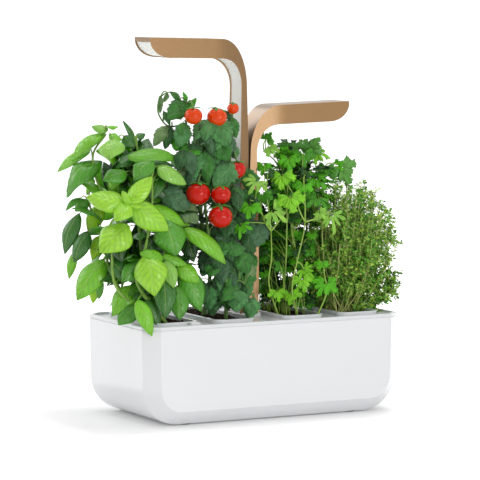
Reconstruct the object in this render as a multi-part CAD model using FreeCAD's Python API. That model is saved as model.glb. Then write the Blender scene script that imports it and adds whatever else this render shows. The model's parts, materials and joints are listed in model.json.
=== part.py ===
import FreeCAD, Part
import math
import os

from FreeCAD import Vector

# Countertop hydroponic garden: a white water reservoir with a lift-off planting tray, four
# plant pods and two lamp arms that slide up and down in a socket at the middle of the tray.
# Millimetres. The origin is at the middle of the reservoir's footprint, on the table.
# +X runs to the right along the long side, +Y to the back and +Z up.

# Reservoir
tub_length = 325.0
tub_width = 170.0
tub_wall = 3.0
tub_floor = 3.0
tub_end_radius = 42.0
tub_face_chamfer = 15.5
tub_draft = 1.7
joint_height = 108.6
foot_height = 1.5
foot_radius = 8.0
foot_recess = 1.0
foot_edge = 0.5
foot_gap = 0.1
foot_inset_x = 57.0
foot_inset_y = 27.0

# Planting tray
rim_height = 4.4
rim_width = 4.0
rim_round = 1.2
deck_thickness = 2.0
shadow_gap_height = 0.7
shadow_gap_depth = 1.2
skirt_depth = 12.0
skirt_thickness = 1.6
slot_corner = 10.0
slot_margin_end = 22.5
slot_margin_side = 18.0
slot_gap_middle = 40.0
slot_gap_side = 24.0
slot_frame_wall = 1.8
slot_frame_depth = 10.0
slot_frame_rise = 3.4

# Plant pods
pod_clearance = 0.5
pod_depth = 62.0
pod_wall = 1.2
pod_taper = 3.0
pod_lip_width = 2.6
pod_lip_thickness = 1.2
medium_clearance = 0.2
medium_drop = 6.0
wick_width = 16.0
wick_thickness = 2.0
wick_tail_gap = 4.0
drain_slot_width = 3.0
drain_slot_length = 14.0
drain_slot_pitch = 24.0

# Lamp arms
left_arm_above_rim = 315.0
right_arm_above_rim = 239.0
arm_reach = 127.0
arm_rise = 2.4
arm_depth = 22.3
arm_half_breadth = 20.5
bend_end = 38.0
bend_drop = 50.0
bend_swell = 1.8
bend_low_pull = 0.44
bend_high_pull = 0.47
bend_relief = 2.2
bend_relief_drop = 120.0
inner_bend_end = 36.0
inner_bend_drop = 56.0
inner_bend_high_pull = 0.61
inner_bend_low_pull = 0.6
inner_bend_swell = 0.2
neck_thickness = 9.3
pole_thickness = 11.4
pole_straight_drop = 150.0
pole_floor_gap = 2.0
flare_start_pull = 9.0
flare_start_swell = 2.1
flare_end_pull = 14.0
flare_end = 44.0
pole_inner_half_breadth = 13.2
pole_outer_half_breadth = 15.8
arm_side_gap = 0.3
tip_lip = 5.0
tip_bow_length = 26.0
tip_bow_pull = 9.0
tip_bow_tuck = 2.0
tip_bow_share = 0.4
shell_wall = 1.5
liner_inset = 1.2
liner_gap = 0.15

# Light panel in each arm
panel_start = 44.0
panel_length = 54.0
panel_half_breadth = 14.0
panel_cavity_height = 12.0
diffuser_thickness = 2.0
diffuser_gap = 0.15
diffuser_ledge = 2.0
board_thickness = 1.6
led_size = 3.0
led_height = 1.0
led_rows = 3
led_columns = 6

# Mast socket
socket_clearance = 0.3
socket_wall = 2.0
socket_collar_rise = 4.0
socket_floor_height = 8.0
socket_flange_length = 60.0
socket_flange_thickness = 2.0
socket_flange_drop = 8.0
pad_height = 12.0
pad_breadth = 10.0
pad_pocket = 1.0
pad_proud = 0.1
pad_drop = 14.0
screw_radius = 1.5
screw_head_radius = 3.0
screw_head_height = 1.8
screw_length = 8.0
screw_gap = 0.1
screw_slot = 0.8
boss_radius = 3.6
screw_inset = 5.0
screw_side = 8.0

# Water level float
float_x = -100.0
float_inset = 10.5
float_radius = 6.0
float_height = 18.0
float_base = 22.0
float_round = 2.0
stem_radius = 2.0
stem_gap = 0.4
guide_wall = 1.6
guide_length = 46.0
cap_length = 12.0
cap_breadth = 8.0
cap_height = 4.6
cap_round = 1.5
float_travel = 12.0
cap_room = 2.0

# Controls at the rear of the tray
housing_length = 48.0
housing_depth = 15.0
housing_height = 20.0
housing_wall = 2.0
housing_gap = 0.5
control_board_rise = 2.0
inlet_x = -12.0
inlet_body = 10.0
inlet_neck_radius = 4.6
inlet_bore_radius = 3.2
inlet_bore_depth = 9.0
inlet_pin_radius = 1.0
inlet_pin_length = 4.0
inlet_gap = 0.2
button_x = 12.0
button_radius = 4.0
button_gap = 0.35
button_proud = 1.2
button_flange = 1.2
button_round = 0.5
button_travel = 1.0
switch_size = 6.0
switch_gap = 0.4

# Plants, with half the breadth along X and Y
stem_thickness = 3.0
fruit_gap = 0.4
mast_clearance = 1.0
crown_sides = 12
basil_height = 226.0
basil_half_x = 86.0
basil_half_y = 72.0
tomato_height = 262.0
tomato_half_x = 48.0
tomato_half_y = 48.0
parsley_height = 214.0
parsley_half_x = 48.0
parsley_half_y = 58.0
thyme_height = 166.0
thyme_half_x = 60.0
thyme_half_y = 62.0
fruit_radius = 13.7

deck_top = joint_height + deck_thickness
rim_top = joint_height + rim_height
frame_top = deck_top + slot_frame_rise
left_arm_top = rim_top + left_arm_above_rim
right_arm_top = rim_top + right_arm_above_rim
pole_length = right_arm_top - socket_floor_height - socket_wall - pole_floor_gap
slots_length = tub_length - 2 * slot_margin_end - slot_gap_middle - 2 * slot_gap_side
slot_width = slots_length / 4
slot_length = tub_width - 2 * slot_margin_side
float_y = float_inset - tub_width / 2
slot_centres = [
    -(slot_gap_middle / 2 + slot_width * 1.5 + slot_gap_side),
    -(slot_gap_middle / 2 + slot_width * 0.5),
    slot_gap_middle / 2 + slot_width * 0.5,
    slot_gap_middle / 2 + slot_width * 1.5 + slot_gap_side,
]
pod_top = frame_top + pod_lip_thickness
medium_top = pod_top - medium_drop


def save(shape, node):
    shape.exportStep("parts/" + node + ".step")


def box(x0, x1, y0, y1, z0, z1):
    return Part.makeBox(x1 - x0, y1 - y0, z1 - z0, Vector(x0, y0, z0))


def rod(radius, base, height, axis=Vector(0, 0, 1)):
    return Part.makeCylinder(radius, height, base, axis)


def prism(points, direction):
    wire = Part.makePolygon(points + [points[0]])
    return Part.Face(wire).extrude(direction)


def octagon_prism(half_length, half_width, chamfer, z0, z1):
    corners = []
    for sx, sy in ((1, -1), (1, 1), (-1, 1), (-1, -1)):
        side = Vector(sx * half_length, sy * (half_width - chamfer), z0)
        face = Vector(sx * (half_length - chamfer), sy * half_width, z0)
        corners += [side, face] if sx * sy > 0 else [face, side]
    return prism(corners, Vector(0, 0, z1 - z0))


def rounded_wire(half_x, half_y, radius, x, z):
    bent = []
    turn = math.pi / 2
    for k, (sx, sy) in enumerate(((1, 1), (-1, 1), (-1, -1), (1, -1))):
        centre = Vector(x + sx * (half_x - radius), sy * (half_y - radius), z)
        places = []
        for part in (0, 0.5, 1):
            angle = (k + part) * turn
            places.append(centre + Vector(radius * math.cos(angle), radius * math.sin(angle), 0))
        bent.append(places)
    edges = []
    for k, places in enumerate(bent):
        edges.append(Part.Arc(*places).toShape())
        edges.append(Part.makeLine(places[2], bent[(k + 1) % 4][0]))
    return Part.Wire(edges)


def rounded_prism(half_x, half_y, radius, x, z0, z1):
    face = Part.Face(rounded_wire(half_x, half_y, radius, x, z0))
    return face.extrude(Vector(0, 0, z1 - z0))


def fuse(shapes):
    return shapes[0].multiFuse(shapes[1:]).removeSplitter()


def level_edges(shape, height):
    return [e for e in shape.Edges if all(abs(v.Z - height) < 1e-6 for v in e.Vertexes)]


def mirrored(shape):
    return shape.mirror(Vector(0, 0, 0), Vector(1, 0, 0))


# Reservoir


def tub_form(inset, z_low, z_high):
    half_length = tub_length / 2 - inset
    half_width = tub_width / 2 - inset
    radius = tub_end_radius - inset
    chamfer = tub_face_chamfer - inset * (2 - math.sqrt(2))
    low = half_length - tub_draft
    corners = [
        Vector(-half_length, -half_width, z_high),
        Vector(-low, -half_width, z_low),
        Vector(low, -half_width, z_low),
        Vector(half_length, -half_width, z_high),
    ]
    block = prism(corners, Vector(0, 2 * half_width, 0))
    ends = [e for e in level_edges(block, z_low) if abs(e.tangentAt(e.FirstParameter).y) > 0.9]
    block = block.makeFillet(radius, ends)
    rims = []
    for edge in block.Edges:
        at_face = all(abs(abs(v.Y) - half_width) < 1e-6 for v in edge.Vertexes)
        across = abs(edge.Vertexes[0].Y - edge.Vertexes[-1].Y) > 1
        at_top = all(abs(v.Z - z_high) < 1e-6 for v in edge.Vertexes)
        if at_face and not across and not at_top:
            rims.append(edge)
    return block.makeChamfer(chamfer, rims)


def foot_places():
    """A foot near each corner, and one in the middle that keeps the full tub's floor from sagging."""
    places = [Vector(0, 0, 0)]
    for sx in (-1, 1):
        for sy in (-1, 1):
            x = sx * (tub_length / 2 - foot_inset_x)
            y = sy * (tub_width / 2 - foot_inset_y)
            places.append(Vector(x, y, 0))
    return places


def reservoir():
    outer = tub_form(0, foot_height, joint_height)
    inner = tub_form(tub_wall, foot_height + tub_floor, joint_height + tub_wall)
    body = outer.cut(inner)
    half = housing_length / 2 + housing_gap
    notch_low = joint_height - housing_height - housing_gap
    reach = tub_width / 2
    notch = box(-half, half, reach - 2 * tub_wall, reach + 1, notch_low, joint_height + 1)
    body = body.cut(notch)
    recess = foot_height + foot_recess
    holes = [rod(foot_radius + foot_gap, place, recess) for place in foot_places()]
    return body.cut(Part.makeCompound(holes))


def rubber_feet():
    feet = []
    for place in foot_places():
        foot = rod(foot_radius, place, foot_height + foot_recess)
        feet.append(foot.makeChamfer(foot_edge, level_edges(foot, 0)))
    return Part.makeCompound(feet)


# Planting tray


def slot_frame(x):
    half_x = slot_width / 2
    half_y = slot_length / 2
    wall = slot_frame_wall
    low = joint_height - slot_frame_depth
    return rounded_prism(half_x + wall, half_y + wall, slot_corner + wall, x, low, frame_top)


def slot_hole(x):
    low = joint_height - slot_frame_depth - 1
    return rounded_prism(slot_width / 2, slot_length / 2, slot_corner, x, low, frame_top + 1)


def tray_outline(inset, z0, z1, end_inset=0.0):
    """Prism of the tray's eight-sided plan, drawn in from the rim by an even inset."""
    chamfer = tub_face_chamfer - inset * (2 - math.sqrt(2))
    half_length = tub_length / 2 - inset - end_inset
    return octagon_prism(half_length, tub_width / 2 - inset, chamfer, z0, z1)


def tray_plate():
    band = tray_outline(0, joint_height, rim_top)
    band = band.makeFillet(rim_round, level_edges(band, rim_top))
    recess = tray_outline(rim_width, deck_top, rim_top + 1)
    gap_top = joint_height + shadow_gap_height
    outside = box(-tub_length, tub_length, -tub_width, tub_width, joint_height, gap_top)
    core = tray_outline(shadow_gap_depth, joint_height - 1, gap_top + 1)
    return band.cut(recess).cut(outside.cut(core))


def tray_skirt():
    low = joint_height - skirt_depth
    outer_inset = tub_wall + housing_gap
    outer = tray_outline(outer_inset, low, joint_height, tub_draft)
    inner = tray_outline(outer_inset + skirt_thickness, low - 1, joint_height + 1, tub_draft)
    half = housing_length / 2 + housing_gap
    notch = box(-half, half, 0, tub_width / 2, low - 1, joint_height)
    return outer.cut(inner).cut(notch)


def tray_holes():
    guide_low = Vector(float_x, float_y, joint_height - guide_length - 1)
    guide_hole = rod(stem_radius + stem_gap, guide_low, guide_length + deck_thickness + 2)
    half_x = socket_half_x() + screw_gap
    half_y = socket_half_y() + screw_gap
    mast_hole = box(-half_x, half_x, -half_y, half_y, joint_height - 1, rim_top)
    depth = screw_length - socket_flange_thickness + screw_gap
    pilots = [rod(screw_radius + screw_gap, place, depth) for place in screw_places(0)]
    return Part.makeCompound([slot_hole(x) for x in slot_centres] + [guide_hole, mast_hole] + pilots)


def tray():
    guide_low = Vector(float_x, float_y, joint_height - guide_length)
    guide = rod(stem_radius + stem_gap + guide_wall, guide_low, guide_length)
    frames = [slot_frame(x) for x in slot_centres]
    bosses = [rod(boss_radius, place, socket_flange_drop) for place in screw_places(0)]
    return fuse([tray_plate(), tray_skirt(), guide] + frames + bosses).cut(tray_holes())


# Plant pods


def pod_loft(inset, x, z_low, z_high):
    top_half_x = slot_width / 2 - pod_clearance - inset
    top_half_y = slot_length / 2 - pod_clearance - inset
    radius = slot_corner - pod_clearance - inset
    slope = pod_taper / pod_depth
    wires = []
    for z in (z_low, z_high):
        draw = (frame_top - z) * slope
        wires.append(rounded_wire(top_half_x - draw, top_half_y - draw, radius - draw, x, z))
    return Part.makeLoft(wires, True, True)


def pod_bottom():
    return frame_top - pod_depth


def pod_case(x):
    outer = pod_loft(0, x, pod_bottom(), frame_top)
    lip_x = slot_width / 2 + pod_lip_width
    lip_y = slot_length / 2 + pod_lip_width
    lip = rounded_prism(lip_x, lip_y, slot_corner + pod_lip_width, x, frame_top, pod_top)
    lip = lip.makeFillet(pod_lip_thickness / 3, level_edges(lip, pod_top))
    inside = pod_loft(pod_wall, x, pod_bottom() + pod_wall, pod_top + 1)
    body = outer.fuse(lip).cut(inside).removeSplitter()
    cuts = [box(
        x - wick_thickness / 2 - medium_clearance,
        x + wick_thickness / 2 + medium_clearance,
        -wick_width / 2 - medium_clearance,
        wick_width / 2 + medium_clearance,
        pod_bottom() - 1,
        pod_bottom() + pod_wall + 1,
    )]
    for step in (-2, -1, 1, 2):
        y = step * drain_slot_pitch
        cuts.append(box(
            x - drain_slot_length / 2,
            x + drain_slot_length / 2,
            y - drain_slot_width / 2,
            y + drain_slot_width / 2,
            pod_bottom() - 1,
            pod_bottom() + pod_wall + 1,
        ))
    return body.cut(Part.makeCompound(cuts))


def growing_medium(x):
    low = pod_bottom() + pod_wall
    return pod_loft(pod_wall + medium_clearance, x, low, medium_top)


def wick(x):
    low = foot_height + tub_floor + wick_tail_gap
    half_x = wick_thickness / 2
    half_y = wick_width / 2
    return box(x - half_x, x + half_x, -half_y, half_y, low, pod_bottom() + pod_wall)


# Mast socket


def socket_half_x():
    return arm_side_gap + pole_thickness + socket_clearance + socket_wall


def socket_half_y():
    return pole_outer_half_breadth + socket_clearance + socket_wall


def screw_places(offset):
    z = joint_height - socket_flange_drop + offset
    y = socket_flange_length / 2 - screw_inset
    return [Vector(sx * screw_side, sy * y, z) for sx in (-1, 1) for sy in (-1, 1)]


def pole_section(grow, z):
    inner = pole_inner_half_breadth + grow
    outer = pole_outer_half_breadth + grow
    near = arm_side_gap - grow
    far = arm_side_gap + pole_thickness + grow
    return [
        Vector(near, -inner, z),
        Vector(far, -outer, z),
        Vector(far, outer, z),
        Vector(near, inner, z),
    ]


def pad_box(sx, depth, grow):
    wall = arm_side_gap + pole_thickness + socket_clearance
    near = sx * (wall - (0 if grow else pad_proud))
    far = sx * (wall + depth)
    half = pad_breadth / 2 + grow
    top = joint_height - pad_drop + grow
    low = joint_height - pad_drop - pad_height - grow
    return box(min(near, far), max(near, far), -half, half, low, top)


def mast_socket():
    half_x = socket_half_x()
    half_y = socket_half_y()
    top = deck_top + socket_collar_rise
    well = box(-half_x, half_x, -half_y, half_y, socket_floor_height, top)
    uprights = [e for e in well.Edges if abs(e.tangentAt(e.FirstParameter).z) > 0.9]
    well = well.makeFillet(socket_wall, uprights)
    well = well.makeFillet(socket_wall / 2, level_edges(well, top))
    flange_top = joint_height - socket_flange_drop
    half_flange = socket_flange_length / 2
    flange = box(
        -half_x, half_x, -half_flange, half_flange, flange_top - socket_flange_thickness, flange_top
    )
    body = well.fuse(flange)
    floor = socket_floor_height + socket_wall
    right = prism(pole_section(socket_clearance, floor), Vector(0, 0, top + 1 - floor))
    body = body.cut(right.fuse(mirrored(right)))
    pockets = [pad_box(sx, pad_pocket, screw_gap) for sx in (-1, 1)]
    holes = []
    for place in screw_places(-socket_flange_thickness - 1):
        holes.append(rod(screw_radius + screw_gap, place, socket_flange_thickness + 2))
    return body.cut(Part.makeCompound(pockets + holes))


def friction_pads():
    return Part.makeCompound([pad_box(sx, pad_pocket, 0) for sx in (-1, 1)])


def socket_screws():
    screws = []
    for place in screw_places(-socket_flange_thickness):
        shank = rod(screw_radius, place, screw_length)
        head = rod(screw_head_radius, place - Vector(0, 0, screw_head_height), screw_head_height)
        slot = box(
            place.x - screw_head_radius,
            place.x + screw_head_radius,
            place.y - screw_slot / 2,
            place.y + screw_slot / 2,
            place.z - screw_head_height,
            place.z - screw_head_height / 2,
        )
        screws.append(head.fuse(shank).cut(slot))
    return Part.makeCompound(screws)


# Lamp arms, drawn for the right arm and mirrored for the left


def bezier(points):
    curve = Part.BezierCurve()
    curve.setPoles(points)
    return curve.toShape()


def arm_profile(inset, top):
    """Side outline of an arm: inset 0 for the painted shell, more for what lies under it."""
    def at(x, z):
        return Vector(arm_side_gap + x, -tub_width, top + z)

    slope = arm_rise / (arm_reach - bend_end)
    tip = arm_reach
    tip_top = arm_rise - inset
    bow_low = slope * (tip - tip_bow_length - bend_end) - arm_depth
    low = -pole_length
    outer_bend = bezier([
        at(bend_relief + inset, -bend_drop),
        at(bend_relief + inset + bend_swell, -bend_drop * bend_low_pull),
        at(bend_end * bend_high_pull, -inset),
        at(bend_end, -inset),
    ])
    bow = bezier([
        at(tip, arm_rise - tip_lip),
        at(tip - tip_bow_tuck, arm_rise - tip_lip - tip_bow_pull),
        at(tip - tip_bow_length * tip_bow_share, bow_low),
        at(tip - tip_bow_length, bow_low),
    ])
    inner_bend = bezier([
        at(inner_bend_end, -arm_depth),
        at(inner_bend_end * inner_bend_high_pull, -arm_depth - inner_bend_swell),
        at(neck_thickness + inner_bend_swell, -inner_bend_drop * inner_bend_low_pull),
        at(neck_thickness, -inner_bend_drop),
    ])
    edges = [
        Part.makeLine(at(inset, low), at(inset, -bend_relief_drop)),
        Part.makeLine(at(inset, -bend_relief_drop), at(bend_relief + inset, -bend_drop)),
        outer_bend,
        Part.makeLine(at(bend_end, -inset), at(tip, tip_top)),
        Part.makeLine(at(tip, tip_top), at(tip, arm_rise - tip_lip)),
        bow,
        Part.makeLine(at(tip - tip_bow_length, bow_low), at(inner_bend_end, -arm_depth)),
        inner_bend,
        Part.makeLine(at(neck_thickness, -inner_bend_drop), at(pole_thickness, -pole_straight_drop)),
        Part.makeLine(at(pole_thickness, -pole_straight_drop), at(pole_thickness, low)),
        Part.makeLine(at(pole_thickness, low), at(inset, low)),
    ]
    return Part.Wire(edges)


def arm_plan(inset, z):
    """Outline of an arm from above: narrow at the pole and flaring to the lamp's breadth."""
    def at(x, y):
        return Vector(arm_side_gap + x, y, z)

    inner = pole_inner_half_breadth - inset
    outer = pole_outer_half_breadth - inset
    wide = arm_half_breadth - inset
    sides = []
    for side in (-1, 1):
        flare = bezier([
            at(pole_thickness, side * outer),
            at(pole_thickness + flare_start_pull, side * (outer + flare_start_swell)),
            at(flare_end - flare_end_pull, side * wide),
            at(flare_end, side * wide),
        ])
        root = Part.makeLine(at(0, side * inner), at(pole_thickness, side * outer))
        straight = Part.makeLine(at(flare_end, side * wide), at(arm_reach, side * wide))
        sides.append([root, flare, straight])
    tip = Part.makeLine(at(arm_reach, -wide), at(arm_reach, wide))
    back = Part.makeLine(at(0, inner), at(0, -inner))
    return Part.Wire(sides[0] + [tip] + sides[1][::-1] + [back])


def arm_block(profile_inset, plan_inset, top):
    side = Part.Face(arm_profile(profile_inset, top)).extrude(Vector(0, 2 * tub_width, 0))
    low = top - pole_length - 1
    plan = Part.Face(arm_plan(plan_inset, low)).extrude(Vector(0, 0, pole_length + arm_depth))
    return side.common(plan)


def arm_shell(top):
    outer = arm_block(0, 0, top)
    core = arm_block(shell_wall, shell_wall, top)
    return outer.cut(core)


def panel_floor(top):
    return top - arm_depth + liner_inset


def panel_box(top, grow, z0, z1):
    x0 = arm_side_gap + panel_start - grow
    x1 = arm_side_gap + panel_start + panel_length + grow
    half = panel_half_breadth + grow
    return box(x0, x1, -half, half, z0, z1)


def arm_liner(top):
    core = arm_block(shell_wall + liner_gap, shell_wall + liner_gap, top)
    inset = Vector(-liner_inset, 0, liner_inset)
    body = core.common(core.translated(inset))
    low = panel_floor(top)
    cavity = panel_box(top, diffuser_ledge, low + diffuser_thickness, low + panel_cavity_height)
    window = panel_box(top, 0, low - arm_depth / 4, low + panel_cavity_height)
    return body.cut(cavity.fuse(window))


def diffuser(top):
    low = panel_floor(top) + diffuser_thickness
    flange = panel_box(top, diffuser_ledge - diffuser_gap, low, low + diffuser_thickness)
    lens = panel_box(top, -diffuser_gap, low - diffuser_thickness, low)
    return lens.fuse(flange).removeSplitter()


def led_board(top):
    high = panel_floor(top) + panel_cavity_height
    return panel_box(top, diffuser_ledge - diffuser_gap, high - board_thickness, high)


def led_chips(top):
    high = panel_floor(top) + panel_cavity_height - board_thickness
    chips = []
    for row in range(led_rows):
        for column in range(led_columns):
            x = arm_side_gap + panel_start + panel_length * (column + 0.5) / led_columns
            y = panel_half_breadth * 2 * ((row + 0.5) / led_rows - 0.5)
            half = led_size / 2
            chips.append(box(x - half, x + half, y - half, y + half, high - led_height, high))
    return Part.makeCompound(chips)


# Water level float


def level_float():
    base = Vector(float_x, float_y, float_base)
    block = rod(float_radius, base, float_height)
    block = block.makeFillet(float_round, level_edges(block, float_base))
    return block.cut(rod(stem_radius, base + Vector(0, 0, float_height / 3), float_height))


def level_stem():
    low = float_base + float_height / 3
    return rod(stem_radius, Vector(float_x, float_y, low), deck_top - low)


def level_cap():
    half_x = cap_length / 2
    half_y = cap_breadth / 2
    cap = box(
        float_x - half_x,
        float_x + half_x,
        float_y - half_y,
        float_y + half_y,
        deck_top,
        deck_top + cap_height,
    )
    rounded = [e for e in cap.Edges if e not in level_edges(cap, deck_top)]
    upper = [e for e in rounded if max(v.Z for v in e.Vertexes) > deck_top + 1]
    return cap.makeFillet(cap_round, upper)


# Controls


def housing_front():
    return tub_width / 2 - housing_depth


def housing_floor():
    return joint_height - housing_height


def control_z():
    return housing_floor() + housing_height / 2


def control_housing():
    half = housing_length / 2
    rear = tub_width / 2
    low = housing_floor()
    body = box(-half, half, housing_front(), rear, low, joint_height)
    inside = box(
        -half + housing_wall,
        half - housing_wall,
        housing_front() + housing_wall,
        rear - housing_wall,
        low + housing_wall,
        joint_height + 1,
    )
    body = body.cut(inside)
    posts = []
    for sx in (-1, 1):
        for y in (housing_front() + 2 * housing_wall, rear - 3 * housing_wall):
            base = Vector(sx * (half - 2 * housing_wall), y, low + housing_wall)
            posts.append(rod(housing_wall / 2, base, control_board_rise))
    body = fuse([body] + posts)
    through = 3 * housing_wall
    back = Vector(0, rear - 2 * housing_wall, control_z())
    holes = [
        rod(inlet_neck_radius + inlet_gap, back + Vector(inlet_x, 0, 0), through, Vector(0, 1, 0)),
        rod(button_radius + button_gap, back + Vector(button_x, 0, 0), through, Vector(0, 1, 0)),
    ]
    return body.cut(Part.makeCompound(holes))


def switch_face():
    """Where the switch starts: behind the button's flange, its travel and a gap."""
    return tub_width / 2 - housing_wall - button_flange - button_travel - switch_gap


def board_top():
    return housing_floor() + housing_wall + control_board_rise + board_thickness


def control_board():
    half = housing_length / 2 - housing_wall - housing_gap
    front = housing_front() + housing_wall + housing_gap
    rear = switch_face()
    board = box(-half, half, front, rear, board_top() - board_thickness, board_top())
    switch = box(
        button_x - switch_size / 2,
        button_x + switch_size / 2,
        rear - switch_size,
        rear,
        board_top(),
        control_z() + switch_size / 2,
    )
    return board.fuse(switch).removeSplitter()


def power_inlet():
    wall_inside = tub_width / 2 - housing_wall
    half = inlet_body / 2
    block = box(
        inlet_x - half,
        inlet_x + half,
        wall_inside - inlet_body,
        wall_inside,
        board_top(),
        control_z() + half,
    )
    middle = Vector(inlet_x, wall_inside, control_z())
    along = Vector(0, 1, 0)
    neck = rod(inlet_neck_radius, middle, housing_wall, along)
    depth_back = Vector(0, housing_wall - inlet_bore_depth, 0)
    bore = rod(inlet_bore_radius, middle + depth_back, inlet_bore_depth + 1, along)
    pin = rod(inlet_pin_radius, middle + depth_back, inlet_pin_length, along)
    return block.fuse(neck).cut(bore).fuse(pin).removeSplitter()


def power_button():
    along = Vector(0, 1, 0)
    wall_inside = tub_width / 2 - housing_wall
    base = Vector(button_x, wall_inside - button_flange, control_z())
    plate = rod(button_radius + button_flange, base, button_flange, along)
    cap = rod(button_radius, base, button_flange + housing_wall + button_proud, along)
    face_y = tub_width / 2 + button_proud
    edge = [e for e in cap.Edges if all(abs(v.Y - face_y) < 1e-6 for v in e.Vertexes)]
    return plate.fuse(cap.makeFillet(button_round, edge)).removeSplitter()


# Plants: closed crowns of leaves on their stems. Each level gives its height as a share of the
# plant's, then the shift from the pod's middle along X and Y and the spread along X and Y, as
# shares of the plant's half breadths.


def crown(x, size, levels):
    rings = []
    for rise, shift_x, shift_y, spread_x, spread_y in levels:
        points = []
        for k in range(crown_sides):
            angle = 2 * math.pi * k / crown_sides
            px = x + size.x * (shift_x + spread_x * math.cos(angle))
            py = size.y * (shift_y + spread_y * math.sin(angle))
            points.append(Vector(px, py, medium_top + size.z * rise))
        rings.append(Part.makePolygon(points + [points[0]]))
    return Part.makeLoft(rings, True, True)


def stem(x, y, height):
    return rod(stem_thickness / 2, Vector(x, y, medium_top), height)


def mast_space():
    half_x = socket_half_x() + mast_clearance
    half_y = socket_half_y() + mast_clearance
    return box(-half_x, half_x, -half_y, half_y, 0, left_arm_top)


def cap_space():
    half_x = cap_length / 2 + cap_room
    half_y = cap_breadth / 2 + cap_room
    top = deck_top + cap_height + float_travel + cap_room
    return box(float_x - half_x, float_x + half_x, float_y - half_y, float_y + half_y, deck_top, top)


def planted(x, size, levels, stems, others):
    """A crown on its stems, clear of the mast, the level cap and the plants already made."""
    body = crown(x, size, levels)
    for shift_x, shift_y, rise in stems:
        body = body.fuse(stem(x + shift_x * size.x, shift_y * size.y, rise * size.z))
    body = body.cut(mast_space()).cut(cap_space())
    for other in others:
        for solid in other.Solids:
            body = body.cut(solid)
    return body


def basil(others):
    levels = [
        (0.05, -0.12, -0.06, 0.46, 0.78),
        (0.18, -0.26, 0.03, 0.82, 0.92),
        (0.40, -0.30, 0.06, 1.00, 1.00),
        (0.66, -0.30, 0.08, 0.98, 0.97),
        (0.82, -0.26, 0.11, 0.86, 0.80),
        (0.93, -0.18, 0.14, 0.58, 0.58),
        (1.00, -0.16, 0.14, 0.23, 0.25),
    ]
    stems = [(-0.05, -0.36, 0.18), (0.05, 0.06, 0.18), (-0.02, 0.44, 0.18)]
    size = Vector(basil_half_x, basil_half_y, basil_height)
    return planted(slot_centres[0], size, levels, stems, others)


def tomato_size():
    return Vector(tomato_half_x, tomato_half_y, tomato_height)


def tomato(others):
    levels = [
        (0.03, 0.00, -0.21, 0.46, 0.83),
        (0.15, 0.04, -0.17, 0.71, 0.88),
        (0.38, -0.17, -0.13, 0.92, 1.00),
        (0.65, -0.25, -0.13, 0.98, 0.92),
        (0.82, -0.42, -0.17, 1.00, 0.96),
        (0.935, -0.40, -0.13, 0.92, 0.83),
        (1.00, -0.63, 0.00, 0.33, 0.29),
    ]
    stems = [(0.00, -0.17, 0.15), (0.04, 0.25, 0.15)]
    return planted(slot_centres[1], tomato_size(), levels, stems, others)


def parsley(others):
    levels = [
        (0.28, 0.17, 0.00, 0.50, 0.69),
        (0.42, 0.29, 0.00, 0.79, 0.86),
        (0.65, 0.42, 0.00, 1.00, 1.00),
        (0.84, 0.42, 0.03, 0.96, 0.93),
        (0.95, 0.29, 0.07, 0.62, 0.59),
        (1.00, 0.17, 0.07, 0.25, 0.24),
    ]
    stems = [(-0.12, -0.45, 0.42), (0.20, -0.50, 0.42), (0.06, 0.00, 0.42), (0.14, 0.45, 0.42)]
    size = Vector(parsley_half_x, parsley_half_y, parsley_height)
    return planted(slot_centres[2], size, levels, stems, others)


def thyme(others):
    levels = [
        (0.06, 0.00, 0.00, 0.30, 0.55),
        (0.22, 0.23, 0.00, 0.70, 0.84),
        (0.42, 0.40, 0.00, 0.93, 0.97),
        (0.63, 0.47, 0.00, 1.00, 1.00),
        (0.81, 0.43, 0.03, 0.83, 0.84),
        (0.94, 0.33, 0.03, 0.50, 0.48),
        (1.00, 0.30, 0.03, 0.20, 0.19),
    ]
    stems = [(-0.03, -0.16, 0.18), (0.05, 0.19, 0.18)]
    size = Vector(thyme_half_x, thyme_half_y, thyme_height)
    return planted(slot_centres[3], size, levels, stems, others)


def fruits():
    """Middle and radius of each fruit, placed on the tomato crown as shares of its size."""
    places = [
        (-0.827, -0.833, 0.892, 0.75),
        (-0.233, -0.875, 0.885, 0.84),
        (0.317, -0.625, 0.918, 0.50),
        (0.271, -0.917, 0.657, 0.75),
        (-0.792, -1.000, 0.562, 1.00),
        (-0.281, -1.167, 0.556, 0.84),
        (-0.367, -1.312, 0.464, 1.00),
    ]
    size = tomato_size()
    found = []
    for shift_x, shift_y, rise, share in places:
        place = Vector(slot_centres[1] + shift_x * size.x, shift_y * size.y, medium_top + rise * size.z)
        found.append((place, share * fruit_radius))
    return found


def fruit_solids(grow):
    return Part.makeCompound([Part.makeSphere(r + grow, centre) for centre, r in fruits()])


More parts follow.
